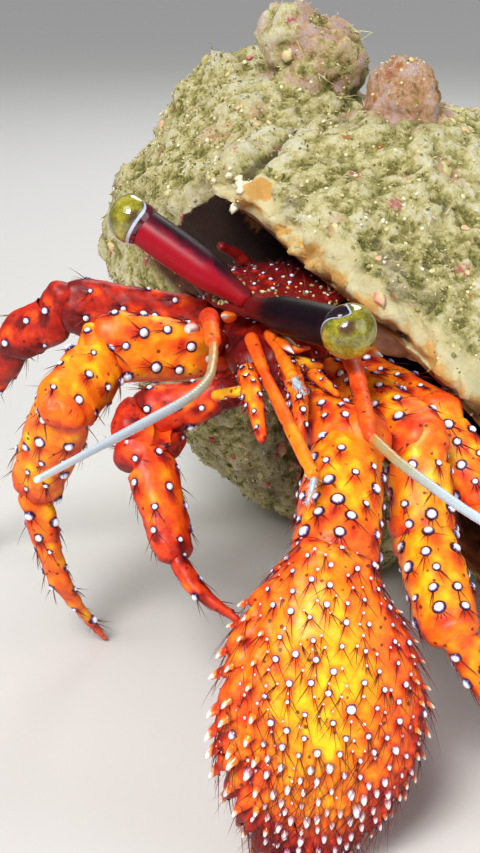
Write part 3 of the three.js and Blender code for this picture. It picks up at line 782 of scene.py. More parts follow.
def make_eye():
    """Stalk colour, a pale rim and the mottled olive lens, parted by one value."""
    material = new_material("cornea", roughness=0.12, coat=0.9, coat_roughness=0.03)
    lens = read("lens")
    fleck = noise(0.5, detail=4.0, roughness=0.65, warp=0.6)
    level = plus(between(fleck, 0, 0.42), between(noise(2.6, detail=2.0), 0, 0.58))
    olive = ramp(level, (0.0, (0.09, 0.075, 0.006)), (0.35, (0.19, 0.17, 0.012)),
                 (0.65, (0.32, 0.29, 0.018)), (1.0, (0.56, 0.47, 0.06)))
    olive = mix(times(read("pupil"), 0.9), olive, (0.07, 0.022, 0.022))
    olive = mix(span(lens, 0.22, 0.02, 0.0, 0.55), olive, (0.10, 0.085, 0.035))
    stalk = ramp(read("upper"), (0.0, (0.33, 0.003, 0.026)), (0.5, (0.06, 0.001, 0.010)),
                 (1.0, (0.010, 0.0008, 0.005)))
    rim = mix(span(lens, -0.12, -0.09), stalk, (0.50, 0.58, 0.74))
    put("Base Color", mix(span(lens, -0.012, 0.012), rim, olive))
    bump(cells(0.16, randomness=0.3)["Distance"], 0.1, 0.02)
    return material


def make_feeler_blue():
    material = new_material("feeler", roughness=0.3, coat=0.3, sub=0.2, sub_radius=(0.8, 0.9, 1.0))
    level = stir(read("share"), noise(1.6, detail=2.0), 0.03)
    put("Base Color", ramp(level, (0.0, (0.62, 0.2, 0.03)), (0.05, (0.42, 0.30, 0.12)),
                           (0.16, (0.42, 0.42, 0.30)), (0.34, (0.50, 0.60, 0.66)),
                           (0.7, (0.58, 0.72, 0.84)), (1.0, (0.80, 0.88, 0.95))))
    return material


def make_soft_skin():
    material = new_material("soft_skin", roughness=0.42, coat=0.2, sub=0.3,
                            sub_radius=(1.0, 0.4, 0.25), sub_scale=0.002)
    put("Base Color", ramp(noise(6.0, warp=0.5), (0.3, (0.30, 0.06, 0.025)),
                           (0.5, (0.55, 0.2, 0.09)), (0.7, (0.72, 0.42, 0.26))))
    bump(noise(0.8), 0.5, 0.25)
    return material


def make_membrane():
    material = new_material("joint_membrane", roughness=0.4, coat=0.2, sub=0.2,
                            sub_radius=(1.0, 0.15, 0.05))
    level = noise(0.7)
    put("Base Color", ramp(level, (0.3, (0.09, 0.004, 0.004)), (0.6, (0.3, 0.015, 0.006)),
                           (0.8, (0.55, 0.06, 0.01))))
    bump(level, 0.5, 0.15)
    return material


CREAM = (0.70, 0.63, 0.32)
SAND = (0.49, 0.43, 0.17)
MOSS = (0.31, 0.275, 0.085)
OLIVE = (0.15, 0.145, 0.035)
CHALK = (0.80, 0.78, 0.62)
PEACH = (0.72, 0.40, 0.26)
PINK = (0.52, 0.07, 0.12)
RUST = (0.42, 0.13, 0.02)
DUSK = (0.36, 0.29, 0.24)
SHADE = (0.08, 0.06, 0.025)


def make_crust():
    """Turf, sand and coralline crust over the outside, glaze inside, a bright lip. Hollows get painted
    shade, crests painted light, and the glaze darkens deeper in the mouth as painted shade.
    """
    material = new_material("shell_crust", roughness=0.85, specular=0.3)
    broad = noise(15.0, detail=4.0, warp=0.6)
    middle = noise(4.0, detail=4.0, roughness=0.65)
    fine = noise(0.7, detail=5.0, roughness=0.8)
    level = plus(between(broad, 0.1, 0.34), between(middle, 0, 0.22))
    level = plus(level, between(fine, -0.05, 0.33))
    # Painted light and shade: the crests of the relief are painted paler and its hollows darker olive.
    level = plus(level, span(read("height"), 0.1, 0.9, -0.16, 0.2))
    colour = ramp(level, (0.02, (0.07, 0.07, 0.018)), (0.18, OLIVE), (0.32, MOSS), (0.46, SAND),
                  (0.64, CREAM), (0.9, CHALK))
    colour = mix(span(noise(10.0, detail=2.0, warp=1.0), 0.62, 0.70, 0.0, 0.45), colour, PEACH)
    colour = mix(span(noise(19.0, warp=0.8), 0.52, 0.64, 0.0, 0.4), colour, DUSK)
    knob_tone = ramp(stir(middle, fine, 0.12), (0.35, (0.40, 0.17, 0.07)), (0.5, (0.60, 0.31, 0.18)),
                     (0.65, (0.58, 0.42, 0.42)))
    colour = mix(between(stir(read("knob"), middle, 0.3), 0.0, 0.85), colour, knob_tone)
    for size, near, far, tint in ((13.0, 0.11, 0.06, PINK), (7.0, 0.13, 0.08, RUST)):
        spot = stir(cells(size)["Distance"], fine, 0.06)
        colour = mix(span(spot, near, far, 0.0, 0.75), colour, tint)
    colour = mix(span(read("sheltered"), 0.35, 0.8, 0.0, 0.85), colour, SHADE)
    lip = stir(read("lip"), middle, 0.16)
    lip_tone = ramp(lip, (0.25, CREAM), (0.5, (0.76, 0.66, 0.34)), (0.8, (0.84, 0.76, 0.46)),
                    (0.93, (0.82, 0.62, 0.28)), (1.0, (0.82, 0.46, 0.13)))
    colour = mix(span(lip, 0.2, 0.5), colour, lip_tone)
    inside = read("inside")
    # The shell's own brown glaze inside, darkening to near black deeper in the mouth and on the callus:
    # that darkening is painted shade.
    glaze_and_shade = ramp(stir(read("depth"), middle, 0.12), (0.0, (0.42, 0.16, 0.04)),
                 (0.16, (0.13, 0.042, 0.014)), (0.45, (0.028, 0.011, 0.007)),
                 (1.0, (0.007, 0.004, 0.004)))
    put("Base Color", mix(span(inside, 0.35, 0.6), colour, glaze_and_shade))
    put("Roughness", plus(span(inside, 0.4, 0.6, 0.0, -0.45), between(lip, 0.9, 0.62)))
    bump(plus(fine, times(noise(0.3, roughness=0.8), 0.6)), 0.9, 0.6)
    return material


def make_growth(name, *stops):
    material = new_material(name, roughness=0.8, specular=0.3)
    put("Base Color", ramp(stir(read("shade"), noise(2.0), 0.2), *stops))
    return material


def make_plain(name, colour, roughness):
    material = new_material(name, roughness=roughness)
    put("Base Color", colour)
    return material


PATTERN = make_cuticle_pattern()
CUTICLE = make_cuticle()
BEAD = make_bead_white()
BRISTLE = make_bristle_brown()
EYESTALK = make_eyestalk_red()
EYE = make_eye()
FEELER = make_feeler_blue()
SOFT = make_soft_skin()
MEMBRANE = make_membrane()
CRUST = make_crust()
GRAIN = make_growth("shell_grain", (0.0, OLIVE), (0.3, MOSS), (0.5, SAND), (0.75, CREAM), (1.0, CHALK))
LUMP = make_growth("coralline_lump", (0.0, SAND), (0.45, CREAM), (0.7, PEACH), (1.0, PINK))
TURF_PALE = make_growth("turf_pale", (0.0, SAND), (0.5, CREAM), (1.0, CHALK))
TURF_OLIVE = make_growth("turf_olive", (0.0, OLIVE), (0.5, MOSS), (1.0, SAND))
FLOOR = make_plain("pale_floor", (0.72, 0.71, 0.69), 0.9)


# ---- cuticle pieces ----

def leg_profile(share, turn):
    """Narrow where a segment leaves the one before, flared at its far rim."""
    near = 0.84 + 0.16 * ease(share / 0.2)
    flare = 0.09 * ease((share - 0.62) / 0.28) - 0.10 * ease((share - 0.93) / 0.07)
    return near + flare


def dactyl_profile(share, turn):
    near = 0.86 + 0.14 * ease(share / 0.12)
    return near * (1 + 0.02 * np.sin(share * 40))


def waists(share, joints, depth, width):
    """How far the section draws in round each joint of a row of articles."""
    return sum(depth * np.exp(-((share - joint) / width) ** 2) for joint in joints)


def lumpy(skin, size, depth, seed):
    """Moves the skin in and out by up to `depth` mm."""
    shift = waves(skin.points, size, seed) * depth * MM
    move_points(skin.mesh, skin.points + skin.normals * shift[:, None])
    refresh(skin)


def leg_warmth(skin, base):
    """Painted light and shade: bright on faces turned to the lit front and upper side, red on those
    turned away. Also brighter in mid segment and red at the joints.
    """
    facing = skin.normals @ LIT_SIDE
    mid = np.sin(np.pi * np.clip(skin.share, 0, 1)) ** 0.7
    return base + 0.30 * ease((facing + 0.35) / 1.2) + 0.16 * mid - 0.14


def cuticle_piece(name, nodes, core, base=0.42, spacing=2.7, bead=(0.42, 0.78), seed=0,
                  profile=leg_profile, lumps=0.14, lean=0.15, caps=(0.8, 0.8), grain=SKIN_GRAIN,
                  mound=0.16, white=None):
    """A wrapped solid with its warmth, its beads' places and their dark rings.

    The skin turns white towards its tip, the sooner the smaller `white` is.
    """
    skin = wrap(name, core, profile, caps=caps, grain=grain)
    lumpy(skin, 5.0, lumps, seed)
    skin.warm = leg_warmth(skin, base)
    rng = np.random.default_rng(seed)
    index = scatter(skin, np.full(len(skin.points), spacing * MM), rng)
    index = index[(skin.share[index] > 0.03) & (skin.share[index] < 0.985)]
    radius = rng.uniform(bead[0], bead[1], len(index)) * MM
    skin.spots = spots_on(skin, index, radius, 0.9, lean, mound=mound)
    mark_skin(skin, skin.spots)
    skin.spots.place = skin.points[skin.spots.index]
    if white is not None:
        write_values(skin.mesh, tip=skin.share - white)
    settle(skin.piece, CUTICLE, "cuticle", *nodes)
    return skin


def settle_plain(skin, warm, tip=0, nodes=()):
    """Settles a cuticle that has no beads."""
    write_values(skin.mesh, warm=warm, ring=0, halo=0, tip=tip)
    settle(skin.piece, CUTICLE, "cuticle", *nodes)


def dress(name, spots, rng=None, **bristles):
    """Beads on the spots and, with random numbers given, bristles at the beads' feet."""
    settle(make_beads(f"{name}_beads", spots), BEAD, "cuticle")
    if rng is not None:
        settle(make_bristles(f"{name}_bristles", spots, rng, **bristles), BRISTLE, "cuticle")


def membrane(name, here, there, radius):
    """Wrinkled soft skin that shows in the gap of a joint."""
    piece, sphere = new_sphere(name, 28, 20)
    axis = unit(there - here)
    side = unit(np.cross(axis, UP + 0.01))
    top = np.cross(side, axis)
    fold = 1 + 0.05 * np.cos(sphere[:, 2:] * 14)
    half = np.linalg.norm(there - here) / 2 + radius * 0.4
    points = ((here + there) / 2 + sphere[:, :1] * side * radius * fold
              + sphere[:, 1:2] * -top * radius * fold + sphere[:, 2:] * axis * half)
    move_points(piece.data, points)
    turn_outwards(piece)
    settle(piece, MEMBRANE, "cuticle")


HAND_NODES = ("claw_left_propodus", "claw_left_dactyl")    # wrapped as one, further down
# Each limb's warmth, spacing of beads in mm, least and largest bead in mm, and upper side.
LIMBS = {
    # claw_right and leg3_right are painted dark red: partly their own colour, partly painted shade.
    "claw_right": (0.14, 3.3, (0.34, 0.58), (-0.7, 0.1, 0.7)),
    "claw_left": (0.42, 2.9, (0.42, 0.78), (0, -0.6, 0.8)),
    "leg2_right": (0.48, 3.4, (0.36, 0.74), (-0.6, -0.5, 0.7)),
    "leg3_right": (0.04, 3.9, (0.32, 0.56), (-0.6, -0.3, 0.7)),
    "leg2_left": (0.48, 3.0, (0.40, 0.74), (0.7, -0.5, 0.5)),
    "leg3_left": (0.38, 3.1, (0.40, 0.74), (0.7, -0.4, 0.5)),
}
# Segments from the trunk out: the middle ones are the warmest. The darker red next to the trunk is
# partly painted shade, where the light falls off near the head.
SEGMENT_WARMTH = {"ischium": -0.34, "merus": -0.10, "carpus": 0.0, "propodus": 0.03, "dactyl": -0.08}


def make_limb(name, seed):
    warmth, spacing, bead, up = LIMBS[name]
    groups = []
    before = box_middle("thorax")
    for k, (part, warmer) in enumerate(SEGMENT_WARMTH.items()):
        node = f"{name}_{part}"
        if node in HAND_NODES:
            break
        tip = part == "dactyl"
        core = measure([node], before, up=np.array(up, float), back=0.25 if tip else 1.2,
                       stations=34 if tip else 26, ends=(0.14, 0.0) if tip else (0.2, 0.12))
        skin = cuticle_piece(f"{node}_skin", [node], core, base=warmth + warmer,
                             spacing=spacing * (0.85 if tip else 1), bead=bead, seed=seed + k,
                             profile=dactyl_profile if tip else leg_profile, lean=0.25)
        if groups:
            membrane(f"{node}_membrane", end, core.line[1], min(width, core.half_side[2]) * 0.82)
        end, width = core.line[-2], core.half_side[-3]
        before = box_middle(node)
        groups.append(skin.spots)
    dress(name, join_spots(groups), np.random.default_rng(seed + 50))


for order, limb in enumerate(LIMBS):
    make_limb(limb, 100 * (order + 1))


# ---- the large left hand ----

# The gap between the fingers, as shares of the movable finger's box across and up.
FINGER_GAP = ((1.02, -0.3), (0.985, 0.36), (0.55, 0.84), (-1.2, 1.25))
FINGER_CLEARANCE = 0.12 * MM
HAND_TRIES = 9000              # points of the hand that may get a bead between the rows
# Rows of spines down the hand: turn round it, spacing in mm, first and last share of the
# length, radius in mm, height in radii, and rise of the scale under each in mm.
HAND_ROWS = (
    (0.0, 3.3, 0.14, 0.97, 0.85, 2.0, 2.6),
    (0.36, 3.3, 0.18, 0.98, 0.62, 2.1, 1.8),
    (0.72, 3.3, 0.24, 0.98, 0.5, 1.9, 0.8),
    (-0.45, 3.4, 0.25, 0.97, 0.6, 2.0, 1.0),
    (3.12, 2.7, 0.2, 0.95, 0.46, 2.1, 0.8),
    (2.75, 2.9, 0.3, 0.95, 0.42, 1.7, 0.6),
)


def turned_from(turns, middle):
    """How far turns lie from a middle one, the shorter way round."""
    return np.angle(np.exp(1j * (turns - middle)))


def hand_profile(share, turn):
    """Rounded at the wrist, and held in at both edges, where the scales stand highest."""
    outer = np.exp(-(turned_from(turn, 0) / 0.75) ** 2)
    inner = np.exp(-(turned_from(turn, np.pi) / 0.6) ** 2)
    return (0.8 + 0.2 * ease(share / 0.08)) * (1 - 0.11 * outer - 0.05 * inner)


def hand_warmth(skin):
    """Yellow high in the palm, orange round it, red at the edges. Faces turned to the lit front are
    painted brighter as painted light, and the finger tips darken to red as painted shade.
    """
    across = np.cos(skin.turn)
    middle = np.exp(-((skin.share - 0.37) / 0.38) ** 2) * np.exp(-((across - 0.05) / 0.62) ** 2)
    front = ease((skin.normals @ LIT_SIDE + 0.2) / 0.7)
    low = ease((skin.share - 0.5) / 0.4)
    # Painted shade: the finger tips are painted dark red.
    end = ease((skin.share - 0.76) / 0.16)
    return (0.28 + front * (0.34 + 0.45 * middle - 0.04 * low) - 0.14 * np.abs(across) ** 4
            - 0.42 * end)


def nearest_points(skin, shares, turns):
    """The skin's points nearest to the given shares of the length and turns round it."""
    return np.array([np.argmin(np.abs(skin.share - share) / 0.02
                               + np.abs(turned_from(skin.turn, turn)) / 0.1)
                     for share, turn in zip(shares, turns)])


def scatter_clear(skin, spacing, rng, taken, away):
    """Scattered points at least `away` mm from the taken places."""
    index = scatter(skin, spacing, rng, tries=HAND_TRIES)
    gaps = np.linalg.norm(skin.points[index][:, None] - taken[None], axis=2).min(1)
    return index, gaps > away * MM


def finger_block(clearance):
    """A block that holds the movable finger's side of the hand."""
    low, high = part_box("claw_left_dactyl")
    wide, deep, tall = (far - near for near, far in zip(low, high))
    corner = [(low.x + a * wide + clearance, low.z + b * tall + clearance) for a, b in FINGER_GAP]
    corner.append((corner[-1][0], corner[0][1]))
    points = np.array([(x, y, z) for y in (low.y - 3 * deep, high.y + 3 * deep) for x, z in corner])
    n = len(corner)
    faces = [tuple(range(n)), tuple(reversed(range(n, 2 * n)))]
    faces += [(k, k + n, (k + 1) % n + n, (k + 1) % n) for k in range(n)]
    block = build_mesh("finger_side", points, faces)
    turn_outwards(block)
    return block


def make_hand():
    core = measure(HAND_NODES, box_middle("claw_left_carpus"), up=np.array([0, -1.0, 0.15]),
                   back=1.5, stations=40, turns=48, ends=(0.06, 0.0), harmonics=6)
    skin = wrap("claw_left_palm_skin", core, hand_profile, grain=0.33 * MM, caps=(0.6, 0.3))
    lumpy(skin, 6.0, 0.16, 7)
    skin.warm = hand_warmth(skin)
    rng = np.random.default_rng(77)
    low = ease((skin.share - 0.38) / 0.35)
    groups = []
    for turn, step, first, last, radius, height, mound in HAND_ROWS:
        shares = np.arange(first, last, step / (core.length / MM))
        shares = shares + rng.uniform(-0.008, 0.008, len(shares))
        index = nearest_points(skin, shares, turn + rng.uniform(-0.08, 0.08, len(shares)))
        size = np.sin(np.pi * np.clip((shares - first) / (last - first), 0.12, 0.8)) ** 0.4
        groups.append(spots_on(skin, index, radius * MM * size, height, 0.75, 1.0, mound * size, 1.35))
    taken = np.concatenate([spots.place for spots in groups])
    room = np.where(skin.normals @ LIT_SIDE < -0.1, 3.2, 2.35 - 0.85 * low) * MM
    index, clear = scatter_clear(skin, room, rng, taken, 1.5)
    index = index[clear]
    lower = low[index]
    radius = rng.uniform(0.28, 0.46, len(index)) * (1 + 0.12 * lower) * MM
    radius[rng.random(len(index)) < 0.1] *= 1.4
    across = np.abs(np.cos(skin.turn[index]))
    groups.append(spots_on(skin, index, radius, 0.95 + 0.75 * lower, 0.2 + 0.6 * lower, 0.42 * lower,
                           0.22 + 0.4 * np.maximum(lower, across ** 3), 1 + 0.75 * lower))
    taken = np.concatenate([taken, skin.points[index]])
    index, clear = scatter_clear(skin, np.full(len(skin.points), 1.4 * MM), rng, taken, 1.0)
    index = index[clear & (rng.random(len(index)) < 0.8)]
    radius = rng.uniform(0.14, 0.26, len(index)) * MM
    groups.append(spots_on(skin, index, radius, 0.9 + 0.6 * low[index], 0.4, 0.5, 0.1, 0.7))
    spots = join_spots(groups)
    halves = (("claw_left_hand_skin", "claw_left_propodus", "DIFFERENCE", FINGER_CLEARANCE),
              ("claw_left_finger_skin", "claw_left_dactyl", "INTERSECT", -FINGER_CLEARANCE))
    for name, node, operation, clearance in halves:
        piece = add_object(name, skin.mesh.copy())
        piece.data.name = name
        block = finger_block(clearance)
        apply_modifier(piece, "BOOLEAN", operation=operation, object=block, solver="EXACT")
        bpy.data.objects.remove(block)
        mark_skin(part_of(skin, piece), spots, ring_depth=0.5, contrast=0.36)
        settle(piece, CUTICLE, "cuticle", node)
    mark_skin(skin, spots, contrast=0.36)
    spots.place = skin.points[spots.index]
    spots.row = spots.share
    bpy.data.objects.remove(skin.piece)
    dress("claw_left_hand", spots, rng, length=(2.2, 5.0), thick=0.062, stand=0.26)


make_hand()


# ---- trunk ----

SHIELD_GRAINS = 130
SOFT_VOXEL = 0.8 * MM
SMOOTHING = 12                 # rounds of smoothing after a remesh


def make_shield():
    core = measure(["shield"], box_middle("claw_left_carpus"), back=1.2, ends=(0.0, 0.0))
    # The shield's dark red is partly its own colour, partly painted shade under the shell's lip.
    skin = cuticle_piece("shield_skin", ["shield"], core, base=-0.26, spacing=3.2, bead=(0.22, 0.42),
                         seed=31, profile=None, lumps=0.3, caps=(0.7, 0.7))
    rng = np.random.default_rng(33)
    front = (1 - ease((skin.share - 0.1) / 0.4)) * (skin.normals[:, 2] > 0.1) + 1e-6
    index = rng.choice(len(skin.points), SHIELD_GRAINS, replace=False, p=front / front.sum())
    size = rng.uniform(0.15, 0.42, len(index)) * MM
    settle(make_pebbles("shield_grit", skin, index, size, rng), GRAIN, "cuticle")
    dress("shield", skin.spots, np.random.default_rng(32), per_spot=(5, 9), length=(1.5, 3.6),
          stand=0.6)


def make_trunk():
    core = measure(["thorax"], box_middle("claw_left_carpus"), back=1.2, ends=(0.0, 0.0))
    skin = cuticle_piece("thorax_skin", ["thorax"], core, base=-0.14, spacing=5.0, bead=(0.3, 0.5),
                         seed=41, profile=None, lumps=0.3)
    dress("thorax", skin.spots)
    soft = copy_of("abdomen_skin", "carapace_rear", "abdomen")
    apply_modifier(soft, "REMESH", mode="VOXEL", voxel_size=SOFT_VOXEL)
    apply_modifier(soft, "SMOOTH", factor=0.5, iterations=SMOOTHING)
    soft.data.shade_smooth()
    settle(soft, SOFT, "soft_body", "carapace_rear", "abdomen")
    for k, name in enumerate(("leg4_right", "leg4_left", "leg5_right", "leg5_left")):
        core = measure([name], box_middle("thorax"), back=0.6, ends=(0.1, 0.05))
        small = cuticle_piece(f"{name}_skin", [name], core, base=-0.2, spacing=3.0, bead=(0.2, 0.34),
                              seed=45 + k, profile=None)
        dress(name, small.spots)


make_shield()
make_trunk()


# ---- eyes ----

# For each eye: the dark tongue of stalk skin that runs up the lens, where its blotch faces, how
# far the lens reaches back in half lengths, how dark the stalk is at least and how much more its
# dark side is, and how dark it is at the lens.
EYES = {"right": ((0.75, 0.1, 0.65), (0.22, -0.93, 0.2), 0.36, (0.0, 1.0), 0.45),
        "left": ((-0.60, 0.15, 0.75), (-0.12, -0.9, 0.42), 0.52, (0.88, 0.14), 1.0)}
STALK_DARK_SIDE = unit(np.array([0.25, 0.35, 0.9]))
EYE_HALF_WIDTH = 3.95 * MM
EYE_HALF_LENGTHS = (3.6 * MM, 4.3 * MM)        # towards the front and towards the stalk


def stalk_profile(share, turn):
    """Narrow at the foot, fullest in the middle, even up to the eye."""
    return 0.70 + 0.30 * ease(share / 0.30) + 0.07 * np.sin(np.pi * np.clip(share, 0, 1))


def make_eye_piece(side):
    tongue, blotch, lens_foot, (least, beyond), upper_end = EYES[side]
    core = measure([f"eyestalk_{side}"], box_middle("shield"), back=1.2, ends=(0.12, 0.15))
    cornea = box_middle(f"cornea_{side}")
    axis = unit(cornea - core.line[len(core.line) // 2])
    gap = np.linalg.norm(cornea - core.line[-1])
    core.line[-6:] += axis * (np.linspace(0, 1, 6) * gap * 0.55)[:, None]
    core.line[:8] -= axis * (np.linspace(1, 0, 8) * 2.4 * MM)[:, None]
    stalk = wrap(f"eyestalk_{side}_skin", core, stalk_profile, grain=0.3 * MM, caps=(0.6, 0.6))
    upper = 0.85 * ease((stalk.normals @ STALK_DARK_SIDE + 0.4) / 1.3)
    write_values(stalk.mesh, upper=least + beyond * upper, share=stalk.share)
    settle(stalk.piece, EYESTALK, "eyestalk", f"eyestalk_{side}")
    membrane(f"eyestalk_{side}_socket", core.line[1], core.line[4], 1.7 * MM)

    ball, sphere = new_sphere(f"cornea_{side}_skin", 120, 90)
    tongue = unit(np.array(tongue) - (np.array(tongue) @ axis) * axis)
    across = np.cross(axis, tongue)
    height = sphere[:, 2]
    notch = np.exp(-(np.arctan2(sphere[:, 1], sphere[:, 0]) / 0.5) ** 2)
    lens = height + lens_foot - 0.95 * notch
    pinch = 1 - 0.22 * notch * np.exp(-((height - 0.05) / 0.4) ** 2) + 0.03 * ease(lens / 0.06)
    half = EYE_HALF_WIDTH * pinch
    points = (cornea + (sphere[:, 0] * half)[:, None] * tongue + (sphere[:, 1] * half)[:, None] * across
              + (height * np.where(height > 0, *EYE_HALF_LENGTHS))[:, None] * axis)
    move_points(ball.data, points)
    facing = normals_of(ball.data) @ unit(np.array(blotch))
    write_values(ball.data, lens=lens, pupil=ease((facing - 0.90) / 0.09), upper=upper_end)
    settle(ball, EYE, "cornea", f"cornea_{side}")


for eye_side in EYES:
    make_eye_piece(eye_side)


# ---- feelers and mouth ----

WHIP_RINGS = 60
TUFT_ROOTS = 60


def make_scale(node, white):
    """A small pointed plate with a white tip, which starts the sooner the smaller `white` is."""
    core = measure([node], box_middle("thorax"), back=0.8, stations=20, ends=(0.1, 0.0))
    skin = wrap(f"{node}_skin", core, lambda share, turn: 1.1 - 0.75 * share ** 1.6,
                grain=0.2 * MM, caps=(0.6, 1.6))
    settle_plain(skin, 0.42 + 0.3 * skin.share, skin.share - white, [node])


def peduncle_profile(share, turn):
    """Articles of the stalk: a waist and a raised rim at each joint."""
    joints = (0.28, 0.55, 0.93)
    rims = waists(share + 0.04, joints, 0.06, 0.025)
    return (0.88 - waists(share, joints, 0.12, 0.02) + rims) * (1 - 0.3 * ease((share - 0.8) / 0.2))


def ringed(share, turn):
    return 1 + 0.05 * np.sin(share * 2 * np.pi * WHIP_RINGS)


def make_antenna(side, white):
    base = f"antenna_base_{side}"
    core = measure([base], box_middle("thorax"), up=np.array([1, 0, 0.2]), back=0.3, stations=34,
                   ends=(0.1, 0.03))
    skin = wrap(f"{base}_skin", core, peduncle_profile, grain=0.22 * MM)
    settle_plain(skin, 0.33 + 0.05 * np.sin(skin.share * 9) + 0.08 * skin.share, nodes=[base])
    socket = core.line[-1] + 0.3 * MM * core.along[-1]
    whip_nodes = [f"antenna_inner_{side}", f"antenna_outer_{side}"]
    core = measure(whip_nodes, box_middle(base), up=np.array([0.9, 0, 0.3]), back=0.02, stations=60,
                   turns=12, ends=(0.04, 0.01), harmonics=1)
    core.line[:5] += (socket - core.line[0]) * np.linspace(1, 0, 5)[:, None]
    whip = wrap(f"antenna_whip_{side}", core, ringed, grain=0.16 * MM, caps=(1.0, 1.0))
    write_values(whip.mesh, share=whip.share)
    settle(whip.piece, FEELER, "feeler", *whip_nodes)
    make_scale(f"antenna_scale_{side}", white)


def make_antennule(side):
    base, tip = f"antennule_base_{side}", f"antennule_tip_{side}"
    core = measure([base], box_middle("thorax"), up=np.array([1, 0, 0.2]), back=0.2, stations=34,
                   ends=(0.1, 0.03))
    skin = wrap(f"{base}_skin", core, grain=0.2 * MM,
                profile=lambda share, turn: 1 - waists(share, (0.3, 0.66, 0.95), 0.16, 0.02))
    settle_plain(skin, 0.44 + 0.22 * skin.share, nodes=[base])
    core = measure([tip], box_middle(base), back=0.3, stations=20, ends=(0.1, 0.0))
    skin = wrap(f"{tip}_skin", core, lambda share, turn: 0.72 - 0.4 * share, grain=0.15 * MM)
    write_values(skin.mesh, share=0.25 + 0.75 * skin.share)
    settle(skin.piece, FEELER, "feeler", tip)
    skin.warm = skin.share
    rng = np.random.default_rng(91)
    spots = spots_on(skin, rng.choice(len(skin.points), TUFT_ROOTS, replace=False), 0.05 * MM)
    tuft = make_bristles(f"antennule_tuft_{side}", spots, rng, per_spot=(1, 2), length=(0.8, 1.9),
                         thick=0.05, fan=0.5, stand=0.5)
    write_values(tuft.data, share=0.8)
    settle(tuft, FEELER, "feeler")


def make_maxilliped(side, seed):
    node = f"maxilliped_{side}"
    core = measure([node], box_middle("thorax"), back=0.5, stations=34, ends=(0.12, 0.0))
    skin = cuticle_piece(f"{node}_skin", [node], core, base=0.36, spacing=1.9, bead=(0.28, 0.42),
                         profile=lambda share, turn: 1 - waists(share, (0.3, 0.52, 0.74), 0.14, 0.025),
                         seed=seed, lumps=0.08, grain=0.24 * MM)
    dress(node, skin.spots, np.random.default_rng(seed + 1), per_spot=(4, 7), length=(1.2, 2.6),
          stand=0.8)


# Small parts round the mouth: near and far end in mm from the middle of the thorax's front top
# edge, half width and half height in mm, warmth, spacing of the beads, share where white starts.
MOUTH_PARTS = {
    "palp_right": ((-9.9, -7.3, -6.7), (-4.1, -11.3, -4.0), 0.95, 0.8, 0.62, 1.5, 2.0),
    "palp_left": ((4.4, -3.5, -4.6), (7.4, -9.5, -5.6), 1.0, 0.8, 0.40, 1.5, 2.0),
    "upper_lip": ((0.4, -1.5, -3.6), (5.3, -2.0, -3.9), 0.9, 1.2, 0.62, 1.6, 2.0),
    "mouth_tooth": ((0.1, -0.9, 0.4), (1.8, -1.3, -0.9), 0.32, 0.32, 0.6, 0, -0.5),
    "mouth_spine": ((0.8, -2.2, -1.3), (3.5, -2.8, -0.9), 0.75, 0.6, 0.36, 1.6, 0.72),
}


def straight_core(here, there, wide, tall, stations=14, turns=12):
    """A core for a small round part between two places."""
    axis = unit(there - here)
    side = unit(np.cross(axis, UP))
    along, side, top = (np.tile(way, (stations, 1)) for way in (axis, side, np.cross(side, axis)))
    return SimpleNamespace(line=here + (there - here) * np.linspace(0, 1, stations)[:, None],
                           along=along, side=side, top=top, factor=np.ones((stations, turns)),
                           half_side=np.full(stations, wide), half_top=np.full(stations, tall),
                           length=np.linalg.norm(there - here))


def narrowing(share, turn):
    return 1 - 0.5 * ease((share - 0.4) / 0.6)


def make_mouth_parts():
    low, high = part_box("thorax")
    edge = np.array([(low.x + high.x) / 2, low.y, high.z])
    for k, (name, look) in enumerate(MOUTH_PARTS.items()):
        here, there, wide, tall, warmth, spacing, white = look
        core = straight_core(edge + np.array(here) * MM, edge + np.array(there) * MM, wide * MM,
                             tall * MM)
        if spacing:
            skin = cuticle_piece(name, [], core, base=warmth, spacing=spacing, bead=(0.18, 0.3),
                                 seed=80 + k, profile=narrowing, lumps=0.06, grain=0.16 * MM,
                                 mound=0.05, white=white)
            dress(name, skin.spots, np.random.default_rng(90 + k), per_spot=(3, 6), length=(0.9, 2.4),
                  thick=0.06, stand=0.9)
        else:
            skin = wrap(name, core, narrowing, grain=0.12 * MM)
            settle_plain(skin, warmth, skin.share - white)


for feeler_side, white_from in (("right", -0.3), ("left", 0.12)):
    make_antenna(feeler_side, white_from)
    make_antennule(feeler_side)
    make_scale(f"eye_scale_{feeler_side}", 0.12)
make_maxilliped("right", 61)
make_maxilliped("left", 71)
make_mouth_parts()


# ---- shell ----

# The shell's own measure: a section that turns round the axis and shrinks towards the apex.
SHELL_FOOT = (0.51, 0.489, 0.258)      # where the axis meets the mouth, as shares of the box
SHELL_AXIS = unit(np.array([-0.34, 0.54, 0.77]))
LIP_WAY = np.array([-0.03, -0.78, 0.62])
LIP_WAY = unit(LIP_WAY - (LIP_WAY @ SHELL_AXIS) * SHELL_AXIS)
MOUTH_WAY = np.cross(LIP_WAY, SHELL_AXIS)
APEX_RISE = 92 * MM
SECTION_RADIUS = 35 * MM               # from the axis to the middle of the section at the lip
HALF_WIDTH = 23.6 * MM                 # to the middle of the wall
HALF_LENGTH = 44.6 * MM
GROWTH = 1.85                          # how much the section grows in one turn
LIP_SLANT = 0.06                       # turns by which the apex end of the lip leads
SHELL_VOXEL = 0.96 * MM
SKY_REACH = 60 * MM                    # what lies further off doesn't shelter a point
LAST_WHORL = (0.72, 1.5)               # how far out on the section its wall lies
MOUTH_TURN = 0.2                       # turns beyond the lip that the mouth takes up
HOLLOW_TURN = 0.64                     # turns behind the lip where the hollow ends
CANAL_END = (-0.88, -0.5)              # where its far end begins, along and behind the lip
